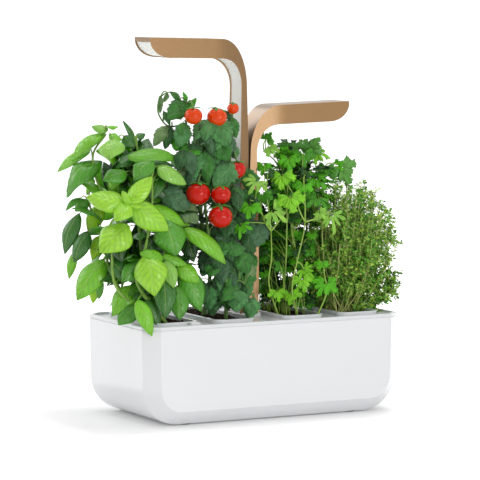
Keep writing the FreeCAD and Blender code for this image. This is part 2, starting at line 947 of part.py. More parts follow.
def main():
    os.makedirs("parts", exist_ok=True)
    save(reservoir(), "reservoir")
    save(rubber_feet(), "rubber_feet")
    save(tray(), "planting_tray")
    for number, x in enumerate(slot_centres, 1):
        save(pod_case(x), "pod_case_%d" % number)
        save(growing_medium(x), "growing_medium_%d" % number)
        save(wick(x), "wick_%d" % number)
    save(mast_socket(), "mast_socket")
    save(friction_pads(), "friction_pads")
    save(socket_screws(), "socket_screws")
    pieces = (
        ("arm_shell", arm_shell),
        ("arm_liner", arm_liner),
        ("diffuser", diffuser),
        ("led_board", led_board),
        ("led_chips", led_chips),
    )
    for name, make in pieces:
        save(make(right_arm_top), "right_" + name)
        save(mirrored(make(left_arm_top)), "left_" + name)
    save(level_float(), "level_float")
    save(level_stem(), "level_stem")
    save(level_cap(), "level_cap")
    save(control_housing(), "control_housing")
    save(control_board(), "control_board")
    save(power_inlet(), "power_inlet")
    save(power_button(), "power_button")
    pockets = fruit_solids(fruit_gap)
    basil_plant = basil([pockets])
    tomato_plant = tomato([basil_plant, pockets])
    parsley_plant = parsley([tomato_plant])
    thyme_plant = thyme([parsley_plant])
    save(basil_plant, "basil_plant")
    save(tomato_plant, "tomato_plant")
    save(fruit_solids(0), "tomato_fruits")
    save(parsley_plant, "parsley_plant")
    save(thyme_plant, "thyme_plant")


main()
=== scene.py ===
import json
import math

import bpy
import numpy as np
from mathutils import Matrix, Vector


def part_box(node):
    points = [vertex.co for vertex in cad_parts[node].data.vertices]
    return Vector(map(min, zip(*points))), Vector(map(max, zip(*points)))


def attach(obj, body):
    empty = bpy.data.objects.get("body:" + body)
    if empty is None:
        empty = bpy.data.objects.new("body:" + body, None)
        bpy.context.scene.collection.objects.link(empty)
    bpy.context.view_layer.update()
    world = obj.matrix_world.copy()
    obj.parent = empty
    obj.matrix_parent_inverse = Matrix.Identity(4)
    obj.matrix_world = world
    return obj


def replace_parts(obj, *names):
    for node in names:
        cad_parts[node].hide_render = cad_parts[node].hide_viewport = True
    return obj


# Looks of the countertop hydroponic garden: finishes of the carried-over parts, four plants,
# the soil, the camera at the photograph's angle and a soft white studio. Metres throughout.

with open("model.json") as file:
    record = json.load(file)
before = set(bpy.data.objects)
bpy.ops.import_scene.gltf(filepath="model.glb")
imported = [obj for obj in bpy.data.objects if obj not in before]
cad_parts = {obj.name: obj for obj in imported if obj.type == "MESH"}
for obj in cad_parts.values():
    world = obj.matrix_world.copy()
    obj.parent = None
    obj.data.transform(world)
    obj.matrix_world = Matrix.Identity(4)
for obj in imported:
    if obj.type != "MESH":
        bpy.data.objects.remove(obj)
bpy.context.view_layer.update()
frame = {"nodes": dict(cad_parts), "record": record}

SEED = 11
MM = 0.001

# Camera, fitted to the reservoir's edges in the photograph
CAMERA_AZIMUTH = math.radians(27.493)
CAMERA_ELEVATION = math.radians(5.201)
CAMERA_DISTANCE = 3.4375
CAMERA_TARGET = Vector((-0.004317, 0.0, 0.19713))
FOCAL_PIXELS = 3000.0
PHOTO_SIZE = 480.0
SENSOR_WIDTH = 36.0
CAMERA_BACK = Vector((
    -math.sin(CAMERA_AZIMUTH) * math.cos(CAMERA_ELEVATION),
    -math.cos(CAMERA_AZIMUTH) * math.cos(CAMERA_ELEVATION),
    math.sin(CAMERA_ELEVATION),
))
CAMERA_PLACE = CAMERA_TARGET + CAMERA_BACK * CAMERA_DISTANCE
CAMERA_RIGHT = Vector((math.cos(CAMERA_AZIMUTH), -math.sin(CAMERA_AZIMUTH), 0.0))
CAMERA_UP = CAMERA_BACK.cross(CAMERA_RIGHT)
PIXEL = CAMERA_DISTANCE / FOCAL_PIXELS

PLANT_BODY = "tray"

# The floor turns to plain white away from the part's shadow: half sides of the patch under the
# part, its middle, then how far from it the shadow is kept and where plain white begins
FLOOR_PATCH = (0.14, 0.07)
FLOOR_PATCH_MIDDLE = (-0.05, 0.0)
FLOOR_SHADOW_REACH = 0.02
FLOOR_WHITE_REACH = 0.14
FLOOR_NEAR_GLOW = 0.12
AMBIENT = 0.27


def srgb(red, green, blue, alpha=1.0):
    def linear(value):
        share = value / 255
        return share / 12.92 if share <= 0.04045 else ((share + 0.055) / 1.055) ** 2.4

    return (linear(red), linear(green), linear(blue), alpha)


def spot(x, y, depth):
    """The point seen at pixel (x, y) of the photograph, on the upright plane Y = depth in mm."""
    ray = -CAMERA_BACK * FOCAL_PIXELS
    ray += CAMERA_RIGHT * (x - PHOTO_SIZE / 2) - CAMERA_UP * (y - PHOTO_SIZE / 2)
    return CAMERA_PLACE + ray * ((depth * MM - CAMERA_PLACE.y) / ray.y)


# Materials


class Nodes:
    """A node tree, with short ways to add to it."""

    def __init__(self, tree):
        self.tree = tree

    def put(self, value, socket):
        if isinstance(value, bpy.types.NodeSocket):
            self.tree.links.new(value, socket)
        else:
            socket.default_value = value

    def math(self, operation, first, second=0.0):
        node = self.tree.nodes.new("ShaderNodeMath")
        node.operation = operation
        self.put(first, node.inputs[0])
        self.put(second, node.inputs[1])
        return node.outputs[0]

    def range(self, value, low, high, to_low=0.0, to_high=1.0):
        node = self.tree.nodes.new("ShaderNodeMapRange")
        node.interpolation_type = "SMOOTHSTEP"
        self.put(value, node.inputs["Value"])
        limits = (("From Min", low), ("From Max", high), ("To Min", to_low), ("To Max", to_high))
        for socket, limit in limits:
            node.inputs[socket].default_value = limit
        return node.outputs["Result"]

    def seen_rays(self):
        """1 for what the camera, a mirror or a clear part sees, 0 for light that is only thrown."""
        rays = self.tree.nodes.new("ShaderNodeLightPath")
        seen = self.math("MAXIMUM", rays.outputs["Is Camera Ray"], rays.outputs["Is Glossy Ray"])
        return self.math("MAXIMUM", seen, rays.outputs["Is Transmission Ray"])


class Shader(Nodes):
    """A procedural material on a Principled shader."""

    def __init__(self, name, **sockets):
        self.material = bpy.data.materials.new(name)
        self.material.use_nodes = True
        super().__init__(self.material.node_tree)
        self.shader = self.tree.nodes["Principled BSDF"]
        self.coords = self.tree.nodes.new("ShaderNodeTexCoord")
        for socket, value in sockets.items():
            self.shader.inputs[socket.replace("_", " ")].default_value = value

    def set(self, socket, value):
        self.put(value, self.shader.inputs[socket])

    def noise(self, scale, detail=2.0, roughness=0.5, stretch=(1, 1, 1), space="Object"):
        mapping = self.tree.nodes.new("ShaderNodeMapping")
        mapping.inputs["Scale"].default_value = stretch
        self.tree.links.new(self.coords.outputs[space], mapping.inputs["Vector"])
        node = self.tree.nodes.new("ShaderNodeTexNoise")
        self.tree.links.new(mapping.outputs[0], node.inputs["Vector"])
        node.inputs["Scale"].default_value = scale
        node.inputs["Detail"].default_value = detail
        node.inputs["Roughness"].default_value = roughness
        return node.outputs["Fac"]

    def cells(self, scale, feature="F1"):
        node = self.tree.nodes.new("ShaderNodeTexVoronoi")
        node.feature = feature
        self.tree.links.new(self.coords.outputs["Object"], node.inputs["Vector"])
        node.inputs["Scale"].default_value = scale
        return node.outputs["Distance"]

    def ramp(self, value, stops):
        node = self.tree.nodes.new("ShaderNodeValToRGB")
        while len(node.color_ramp.elements) < len(stops):
            node.color_ramp.elements.new(0.5)
        for element, (place, colour) in zip(node.color_ramp.elements, stops):
            element.position = place
            element.color = colour
        self.put(value, node.inputs["Fac"])
        return node.outputs["Color"]

    def mix(self, share, first, second, blend="MIX"):
        node = self.tree.nodes.new("ShaderNodeMix")
        node.data_type = "RGBA"
        node.blend_type = blend
        self.put(share, node.inputs[0])
        self.put(first, node.inputs[6])
        self.put(second, node.inputs[7])
        return node.outputs[2]

    def attribute(self, name):
        node = self.tree.nodes.new("ShaderNodeAttribute")
        node.attribute_name = name
        return node.outputs["Color"]

    def bump(self, height, distance, strength=1.0):
        node = self.tree.nodes.new("ShaderNodeBump")
        node.inputs["Strength"].default_value = strength
        node.inputs["Distance"].default_value = distance
        self.put(height, node.inputs["Height"])
        self.tree.links.new(node.outputs["Normal"], self.shader.inputs["Normal"])


def moulded_plastic(name, light, dark, roughness, grain=900.0, depth=0.00002, coat=0.0):
    """Moulded plastic: a faint cloudiness, a fine moulding grain and uneven gloss."""
    shader = Shader(name, Coat_Weight=coat, Coat_Roughness=0.08)
    cloud = shader.noise(9.0, 3.0)
    shader.set("Base Color", shader.mix(cloud, light, dark))
    fine = shader.noise(grain, 2.0)
    shader.set("Roughness", shader.range(fine, 0.2, 0.8, roughness * 0.85, roughness * 1.2))
    shader.bump(fine, depth)
    return shader.material


def copper_paint():
    """Satin copper paint: metallic flakes under a thin coat, a little darker in patches."""
    shader = Shader("copper_paint", Metallic=0.9, Coat_Weight=0.7, Coat_Roughness=0.28)
    flakes = shader.noise(5200.0, 2.0)
    cloud = shader.noise(14.0, 3.0)
    base = shader.mix(cloud, srgb(126, 94, 54), srgb(119, 88, 49))
    light = shader.mix(shader.range(flakes, 0.45, 0.75, 0.0, 0.35), base, srgb(156, 124, 84))
    shader.set("Base Color", light)
    shader.set("Roughness", shader.range(flakes, 0.3, 0.7, 0.36, 0.46))
    shader.bump(flakes, 0.000012)
    return shader.material


def frosted_diffuser():
    shader = Shader("frosted_diffuser", Transmission_Weight=0.25, IOR=1.49)
    fine = shader.noise(2200.0, 2.0)
    shader.set("Base Color", shader.mix(fine, srgb(240, 240, 234), srgb(228, 229, 224)))
    shader.set("Roughness", shader.range(fine, 0.2, 0.8, 0.45, 0.6))
    shader.bump(fine, 0.00002)
    return shader.material


def circuit_board():
    shader = Shader("circuit_board", Roughness=0.45)
    tracks = shader.cells(420.0, "DISTANCE_TO_EDGE")
    copper = shader.range(tracks, 0.02, 0.07)
    shader.set("Base Color", shader.mix(copper, srgb(34, 92, 60), srgb(16, 58, 38)))
    shader.bump(copper, 0.00003)
    return shader.material


def led_chip():
    shader = Shader("led_chip", Roughness=0.3, Coat_Weight=0.4)
    spotted = shader.cells(600.0)
    shader.set("Base Color", shader.mix(spotted, srgb(246, 214, 96), srgb(232, 178, 60)))
    return shader.material


def rubber():
    shader = Shader("black_rubber", Specular_IOR_Level=0.3)
    fine = shader.noise(1500.0, 3.0)
    shader.set("Base Color", shader.mix(fine, srgb(34, 34, 35), srgb(52, 52, 52)))
    shader.set("Roughness", shader.range(fine, 0.2, 0.8, 0.65, 0.85))
    shader.bump(fine, 0.00005)
    return shader.material


def turned_steel():
    shader = Shader("screw_steel", Metallic=1.0)
    fine = shader.noise(2400.0, 2.0, stretch=(1, 1, 6))
    shader.set("Base Color", shader.mix(fine, srgb(176, 178, 180), srgb(140, 142, 145)))
    shader.set("Roughness", shader.range(fine, 0.2, 0.8, 0.22, 0.38))
    return shader.material


def felt():
    shader = Shader("wick_felt", Roughness=0.95, Sheen_Weight=0.4)
    fibre = shader.noise(1300.0, 5.0, 0.7, (1, 1, 0.2))
    shader.set("Base Color", shader.mix(fibre, srgb(214, 211, 200), srgb(170, 166, 152)))
    shader.bump(fibre, 0.0003)
    return shader.material


def soil():
    """Dark crumbly growing medium with paler fibres, and painted shade in the pits among the crumbs.
    """
    shader = Shader("soil", Roughness=0.95, Specular_IOR_Level=0.2)
    crumbs = shader.cells(330.0)
    clods = shader.noise(120.0, 5.0, 0.7)
    base = shader.ramp(clods, [
        (0.3, srgb(26, 20, 16)),
        (0.52, srgb(58, 45, 35)),
        (0.68, srgb(96, 76, 58)),
        (0.8, srgb(140, 118, 94)),
    ])
    # Painted shade: darkest in the pits of the crumb bump
    pit_shade = shader.range(crumbs, 0.1, 0.6, 0.7, 0.0)
    shader.set("Base Color", shader.mix(pit_shade, base, srgb(20, 15, 12)))
    shader.bump(shader.math("ADD", clods, crumbs), 0.0012)
    return shader.material


def leaf_material(name, vein, veins, slant, roughness, vein_share, blotch, fuzz=0.0, depth=0.00025,
                  crease_shade=0.25, gloss=0.35, gain=(1.1, 1.2, 0.9, 1.0)):
    """A leaf with its own tint, blotches, and paler veins that follow its length and width. Painted
    shade darkens it along the side veins and towards its edges.
    """
    shader = Shader(name, Subsurface_Weight=0.12, Subsurface_Scale=0.002, Sheen_Weight=fuzz,
                    Specular_IOR_Level=gloss)
    shader.shader.inputs["Subsurface Radius"].default_value = (0.4, 1.0, 0.2)
    place = shader.tree.nodes.new("ShaderNodeSeparateXYZ")
    shader.tree.links.new(shader.coords.outputs["UV"], place.inputs[0])
    along = place.outputs[0]
    across = shader.math("ABSOLUTE", shader.math("SUBTRACT", place.outputs[1], 0.5))
    rank = shader.math("FRACT", shader.math("MULTIPLY", shader.math(
        "SUBTRACT", along, shader.math("MULTIPLY", across, slant)), veins))
    side = shader.math("ABSOLUTE", shader.math("SUBTRACT", rank, 0.5))
    side_line = shader.range(side, 0.40, 0.49, 0.0, 0.75)
    midrib = shader.range(across, 0.012, 0.04, 1.0, 0.0)
    lines = shader.math("MAXIMUM", side_line, midrib)
    tint = shader.mix(1.0, shader.attribute("tint"), gain, "MULTIPLY")
    blotches = shader.noise(130.0, 4.0, 0.6)
    patches = shader.range(blotches, 0.35, 0.7, 0.0, blotch)
    deep = shader.mix(patches, tint, srgb(24, 62, 18), "MULTIPLY")
    # Painted shade: darker along the side veins and towards the edges, as if creases and curled rims
    # were in shade
    crease_edge_shade = shader.math("MAXIMUM", shader.range(side, 0.18, 0.46), shader.range(across, 0.3, 0.5))
    shade_share = shader.math("MULTIPLY", crease_edge_shade, crease_shade)
    shaded_tint = shader.mix(shade_share, deep, srgb(112, 158, 92), "MULTIPLY")
    shader.set("Base Color", shader.mix(shader.math("MULTIPLY", lines, vein_share), shaded_tint, vein))
    shader.set("Roughness", shader.range(blotches, 0.3, 0.7, roughness * 0.85, roughness * 1.25))
    sunk, swollen = shader.math("MULTIPLY", lines, -1.0), shader.math("MULTIPLY", blotches, 0.6)
    shader.bump(shader.math("ADD", sunk, swollen), depth)
    return shader.material


def stem_material(name, light, dark, roughness=0.5):
    shader = Shader(name, Subsurface_Weight=0.08, Subsurface_Scale=0.001)
    streak = shader.noise(600.0, 3.0, 0.6, (1, 1, 0.12))
    shader.set("Base Color", shader.mix(streak, light, dark))
    shader.set("Roughness", roughness)
    shader.bump(streak, 0.0001)
    return shader.material


def fruit_material():
    """Tomato skin: its own tint with a faint mottle, under a wet gloss."""
    shader = Shader("tomato_skin", Coat_Weight=0.12, Coat_Roughness=0.04, Roughness=0.2,
                    Specular_IOR_Level=0.16)
    mottle = shader.noise(220.0, 4.0, 0.6)
    tint = shader.attribute("tint")
    shader.set("Base Color", shader.mix(
        shader.range(mottle, 0.4, 0.8, 0.0, 0.2), tint, srgb(222, 60, 4)))
    shader.bump(shader.noise(900.0, 2.0), 0.00003)
    return shader.material


SLOT_MATERIALS = {
    "gloss_white": moulded_plastic(
        "gloss_white", srgb(243, 244, 246), srgb(240, 241, 243), 0.16, coat=0.12),
    "tray_white": moulded_plastic(
        "tray_white", srgb(236, 238, 240), srgb(231, 233, 235), 0.22, coat=0.2),
    "liner_white": moulded_plastic(
        "liner_white", srgb(250, 249, 245), srgb(247, 246, 241), 0.38),
    "black_plastic": moulded_plastic(
        "black_plastic", srgb(30, 30, 31), srgb(38, 38, 39), 0.45, depth=0.00005),
    "float_foam": moulded_plastic(
        "float_foam", srgb(235, 235, 228), srgb(222, 222, 214), 0.8, 500.0, 0.0002),
    "copper_paint": copper_paint(),
    "diffuser": frosted_diffuser(),
    "circuit_board": circuit_board(),
    "led_yellow": led_chip(),
    "rubber": rubber(),
    "screw_steel": turned_steel(),
    "wick_felt": felt(),
    "soil": soil(),
}
BASIL_LEAF = leaf_material("basil_leaf", srgb(182, 218, 112), 6.0, 0.75, 0.3, 0.3, 0.14,
                           depth=0.0004, crease_shade=0.16, gloss=0.5, gain=(1.06, 1.17, 0.7, 1.0))
TOMATO_LEAF = leaf_material("tomato_leaf", srgb(136, 172, 116), 6.0, 0.9, 0.58, 0.3, 0.35,
                            fuzz=0.2, depth=0.0006)
PARSLEY_LEAF = leaf_material("parsley_leaf", srgb(170, 214, 100), 5.0, 1.1, 0.42, 0.3, 0.2,
                             gain=(1.25, 1.3, 1.1, 1.0))
THYME_LEAF = leaf_material("thyme_leaf", srgb(160, 190, 110), 3.0, 0.6, 0.6, 0.2, 0.25,
                           gain=(1.3, 1.32, 1.1, 1.0))
BASIL_STEM = stem_material("basil_stem", srgb(150, 188, 80), srgb(104, 150, 52))
TOMATO_STEM = stem_material("tomato_stem", srgb(118, 156, 76), srgb(76, 116, 54), 0.65)
PARSLEY_STEM = stem_material("parsley_stem", srgb(168, 202, 84), srgb(124, 170, 56), 0.4)
THYME_STEM = stem_material("thyme_stem", srgb(222, 228, 146), srgb(184, 196, 106), 0.7)
WOODY_STEM = stem_material("woody_stem", srgb(96, 72, 50), srgb(58, 42, 30), 0.85)
FRUIT_SKIN = fruit_material()


def dress_cad_nodes():
    for part in frame["record"]["subparts"]:
        material = SLOT_MATERIALS.get(part["material_slot"])
        if material is not None:
            node = frame["nodes"][part["node"]]
            node.data.materials.clear()
            node.data.materials.append(material)


# Mesh building


class Grower:
    """Gathers sheets, tubes and blocks with their tints, and makes one object of them."""

    def __init__(self):
        self.points = []
        self.faces = []
        self.places = []
        self.tints = []
        self.count = 0

    def add(self, points, faces, places, tint):
        self.points.append(np.asarray(points, float))
        self.faces.append(np.asarray(faces, int) + self.count)
        self.places.append(np.asarray(places, float))
        self.tints.append(np.tile(np.asarray(tint, float), (len(points), 1)))
        self.count += len(points)

    def sheet(self, grid, tint):
        rows, columns = grid.shape[:2]
        index = np.arange(rows * columns).reshape(rows, columns)
        corners = (index[:-1, :-1], index[1:, :-1], index[1:, 1:], index[:-1, 1:])
        faces = np.stack([c.ravel() for c in corners], 1)
        along, across = np.linspace(0, 1, rows), np.linspace(0, 1, columns)
        places = np.stack(np.meshgrid(along, across, indexing="ij"), -1).reshape(-1, 2)
        self.add(grid.reshape(-1, 3), faces, places, tint)

    def tube(self, path, radii, tint=(1, 1, 1, 1), sides=6):
        path = np.asarray(path, float)
        radii = np.broadcast_to(np.asarray(radii, float), (len(path),))
        tangents = np.gradient(path, axis=0)
        tangents /= np.linalg.norm(tangents, axis=1)[:, None] + 1e-12
        upright = abs(tangents[0][2]) >= 0.8
        guide = np.array([0.95, 0.25, 0.1] if upright else [0.31, 0.17, 0.93])
        first = np.cross(tangents, guide)
        first /= np.linalg.norm(first, axis=1)[:, None] + 1e-12
        second = np.cross(tangents, first)
        angles = np.linspace(0, 2 * math.pi, sides, endpoint=False)
        cosines, sines = np.cos(angles)[None, :, None], np.sin(angles)[None, :, None]
        ring = cosines * first[:, None] + sines * second[:, None]
        points = (path[:, None] + ring * radii[:, None, None]).reshape(-1, 3)
        faces = []
        for row in range(len(path) - 1):
            for side in range(sides):
                a = row * sides + side
                b = row * sides + (side + 1) % sides
                faces.append((a, b, b + sides, a + sides))
        self.add(points, faces, np.zeros((len(points), 2)) + 0.3, tint)
        self.points.append(path[[0, -1]])
        self.places.append(np.full((2, 2), 0.3))
        self.tints.append(np.asarray([tint, tint], float))
        self.count += 2
        self.cap(len(points), sides, len(path))

    def block(self, top, bottom):
        """A closed block between two grids of points of the same size."""
        rows, columns = top.shape[:2]
        size = rows * columns
        index = np.arange(size).reshape(rows, columns)
        corners = (index[:-1, :-1], index[:-1, 1:], index[1:, 1:], index[1:, :-1])
        quads = np.stack([c.ravel() for c in corners], 1)
        rim = np.concatenate([index[0, :-1], index[:-1, -1], index[-1, :0:-1], index[:0:-1, 0]])
        after = np.roll(rim, -1)
        walls = np.stack([after, rim, rim + size, after + size], 1)
        points = np.concatenate([top.reshape(-1, 3), bottom.reshape(-1, 3)])
        faces = np.concatenate([quads, quads[:, ::-1] + size, walls])
        self.add(points, faces, np.zeros((2 * size, 2)), (1, 1, 1, 1))

    def cap(self, size, sides, rows):
        """Closes both ends of the tube that was added last, at the two middle points after it."""
        first = self.count - 2 - size
        last = first + (rows - 1) * sides
        ends = ((self.count - 2, first, False), (self.count - 1, last, True))
        fans = []
        for middle, start, outward in ends:
            for side in range(sides):
                a = start + side
                b = start + (side + 1) % sides
                fans.append((middle, a, b, b) if outward else (middle, b, a, a))
        self.faces.append(np.asarray(fans, int))

    def build(self, name, material, body, slot, thickness=0.0, smooth=True):
        points = np.concatenate(self.points)
        faces = np.concatenate(self.faces)
        clean = [tuple(dict.fromkeys(face)) for face in faces.tolist()]
        mesh = bpy.data.meshes.new(name)
        mesh.from_pydata(points.tolist(), [], clean)
        places = np.concatenate(self.places)
        corners = np.zeros(len(mesh.loops), int)
        mesh.loops.foreach_get("vertex_index", corners)
        layer = mesh.uv_layers.new(name="leaf")
        layer.data.foreach_set("uv", places[corners].astype(np.float32).ravel())
        tints = mesh.color_attributes.new("tint", "FLOAT_COLOR", "POINT")
        tints.data.foreach_set("color", np.concatenate(self.tints).astype(np.float32).ravel())
        mesh.polygons.foreach_set("use_smooth", [smooth] * len(mesh.polygons))
        mesh.materials.append(material)
        mesh.update()
        piece = bpy.data.objects.new(name, mesh)
        bpy.context.scene.collection.objects.link(piece)
        if thickness:
            solid = piece.modifiers.new("thickness", "SOLIDIFY")
            solid.thickness = thickness
            solid.offset = 0.0
        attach(piece, body)
        return piece


def unit(vector):
    return vector / (np.linalg.norm(vector) + 1e-12)


def arc_points(start, control, end, steps):
    """A curve from start to end that bends towards control."""
    start, control, end = (np.asarray(v) for v in (start, control, end))
    t = np.linspace(0, 1, steps)[:, None]
    return (1 - t) ** 2 * start + 2 * t * (1 - t) * control + t ** 2 * end


# Outlines: half width of a leaf along its length, 1 at the widest


def ovate(t):
    return (t ** 0.5) * ((1 - t) ** 0.78) / 0.43


def lobed(t):
    """A tomato leaflet: blunt teeth that point to the tip."""
    tooth = (t * 5.0 + 0.2) % 1.0
    return (t ** 0.42) * ((1 - t) ** 0.72) / 0.42 * (0.80 + 0.24 * tooth)


def wedge(t):
    """A lobe of parsley, broadest near its cut end."""
    return (t ** 0.8) * ((1 - t) ** 0.42) / 0.52


def lance(t):
    return (t ** 0.6) * ((1 - t) ** 0.6) / 0.44


def blade(grower, base, tip, half_width, normal, tint, arch=0.16, camber=0.3, outline=ovate,
          puff=0.05, veins=6, slant=0.38, crinkle=0.0, rows=22, columns=11, rng=None):
    """One leaf from its base to its tip, arched along normal, with edges bent back by camber."""
    base, tip, normal = (np.asarray(v, float) for v in (base, tip, normal))
    chord = tip - base
    length = np.linalg.norm(chord)
    axis = chord / length
    normal = unit(normal - axis * (normal @ axis))
    t = np.linspace(0.0, 1.0, rows)
    control = (base + tip) / 2 + normal * arch * 2 * length
    spine = arc_points(base, control, tip, rows)
    tangents = np.gradient(spine, axis=0)
    tangents /= np.linalg.norm(tangents, axis=1)[:, None]
    normals = normal - tangents * (tangents @ normal)[:, None]
    normals /= np.linalg.norm(normals, axis=1)[:, None]
    sides = np.cross(tangents, normals)
    width = np.clip(outline(np.clip(t, 0.004, 0.996)), 0.02, 2) * half_width
    s = np.linspace(-1, 1, columns)
    spread = np.abs(s) ** 1.5
    rank = (t[:, None] - slant * np.abs(s)[None, :]) * veins
    fade = (1 - s ** 4) * np.minimum(1, np.abs(s) * 4)
    pillow = np.abs(np.sin(math.pi * rank)) * fade[None, :]
    lift = -camber * spread[None, :] * width[:, None] + puff * half_width * pillow
    wave = np.zeros((rows, columns))
    if rng is not None:
        phase = rng.uniform(0, 6.28)
        turns = rng.uniform(1.5, 2.6)
        wave += 0.10 * half_width * np.sin(phase + turns * math.pi * t)[:, None] * s[None, :]
        twist = rng.uniform(-0.25, 0.25)
        wave += twist * width[:, None] * s[None, :] * t[:, None]
        if crinkle:
            bumps = rng.uniform(0, 6.28, 4)
            for k in range(4):
                lengthwise = np.sin((3 + 3 * k) * t * 3 + bumps[k])
                crosswise = np.cos((2 + 2 * k) * s * 1.7 + bumps[-k])
                wave += crinkle * half_width / (1 + 0.5 * k) * np.outer(lengthwise, crosswise)
    across = s[None, :] * width[:, None] * math.sqrt(max(0.2, 1 - (camber * 0.6) ** 2))
    grid = spine[:, None] + sides[:, None] * across[..., None]
    grid = grid + normals[:, None] * (lift + wave)[..., None]
    grower.sheet(grid, tint)


def view_normal(base, tip, roll):
    """Normal of a leaf that faces the camera at roll 0 and shows its upper edge at roll 90."""
    chord = unit(np.asarray(tip) - np.asarray(base))
    back = np.asarray(CAMERA_BACK)
    edge = unit(np.cross(chord, back))
    if edge[2] < 0:
        edge = -edge
    angle = math.radians(roll)
    return unit(back * math.cos(angle) + edge * math.sin(angle))


def varied(rng, tint, amount=0.12):
    shift = 1 + rng.uniform(-amount, amount)
    warm = 1 + rng.uniform(-amount, amount) * 0.5
    return (tint[0] * shift * warm, tint[1] * shift, tint[2] * shift / warm, 1.0)


def nearest_on(paths, point, drop):
    """The point of the stems nearest to a leaf's base, a little lower than it."""
    goal = np.asarray(point) - np.array([0, 0, drop])
    spots = np.concatenate(paths)
    lower = spots[spots[:, 2] <= point[2] + 0.002]
    spots = lower if len(lower) else spots
    return spots[np.argmin(np.linalg.norm(spots - goal, axis=1))]


def petiole(grower, paths, base, radius, rise=0.012, drop=0.012):
    start = nearest_on(paths, base, drop)
    middle = (start + np.asarray(base)) / 2 + np.array([0, 0, rise])
    path = arc_points(start, middle, base, 7)
    grower.tube(path, np.linspace(radius * 1.15, radius * 0.7, 7), sides=5)


def stem_path(places, steps=8):
    """A smooth stem through given points: a Catmull-Rom curve."""
    p = np.asarray([list(v) for v in places], float)
    p = np.vstack([2 * p[0] - p[1], p, 2 * p[-1] - p[-2]])
    out = []
    for k in range(1, len(p) - 2):
        for t in np.linspace(0, 1, steps, endpoint=False):
            out.append(0.5 * (2 * p[k] + (p[k + 1] - p[k - 1]) * t
                              + (2 * p[k - 1] - 5 * p[k] + 4 * p[k + 1] - p[k + 2]) * t ** 2
                              + (3 * p[k] - p[k - 1] - 3 * p[k + 1] + p[k + 2]) * t ** 3))
    out.append(p[-2])
    return np.asarray(out)


def rooted(number, dx, y, *above):
    """A stem from the soil of one pod, dx beside its middle and at y in mm, then through pixels."""
    low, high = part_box("growing_medium_%d" % number)
    foot = Vector(((low.x + high.x) / 2 + dx * MM, y * MM, high.z - MM))
    return stem_path([foot] + [spot(*p) for p in above])


def offshoot(*places):
    """A stem that starts in the air, through pixels of the photograph at their depths."""
    return stem_path([spot(*p) for p in places])


# Basil

# Basil tints: partly the plant's own greens, partly painted light and shade of where each leaf sits;
# BRIGHT and LIT carry painted light on lit and backlit leaves, DEEP and DARK painted shade on leaves
# inside the crown
BRIGHT = srgb(166, 220, 66)
PALE = srgb(146, 198, 100)
FRESH = srgb(126, 194, 44)
LEAFY = srgb(110, 178, 56)
MID = srgb(84, 154, 46)
DEEP = srgb(48, 108, 36)
DARK = srgb(24, 70, 24)
LIT = srgb(168, 212, 10)
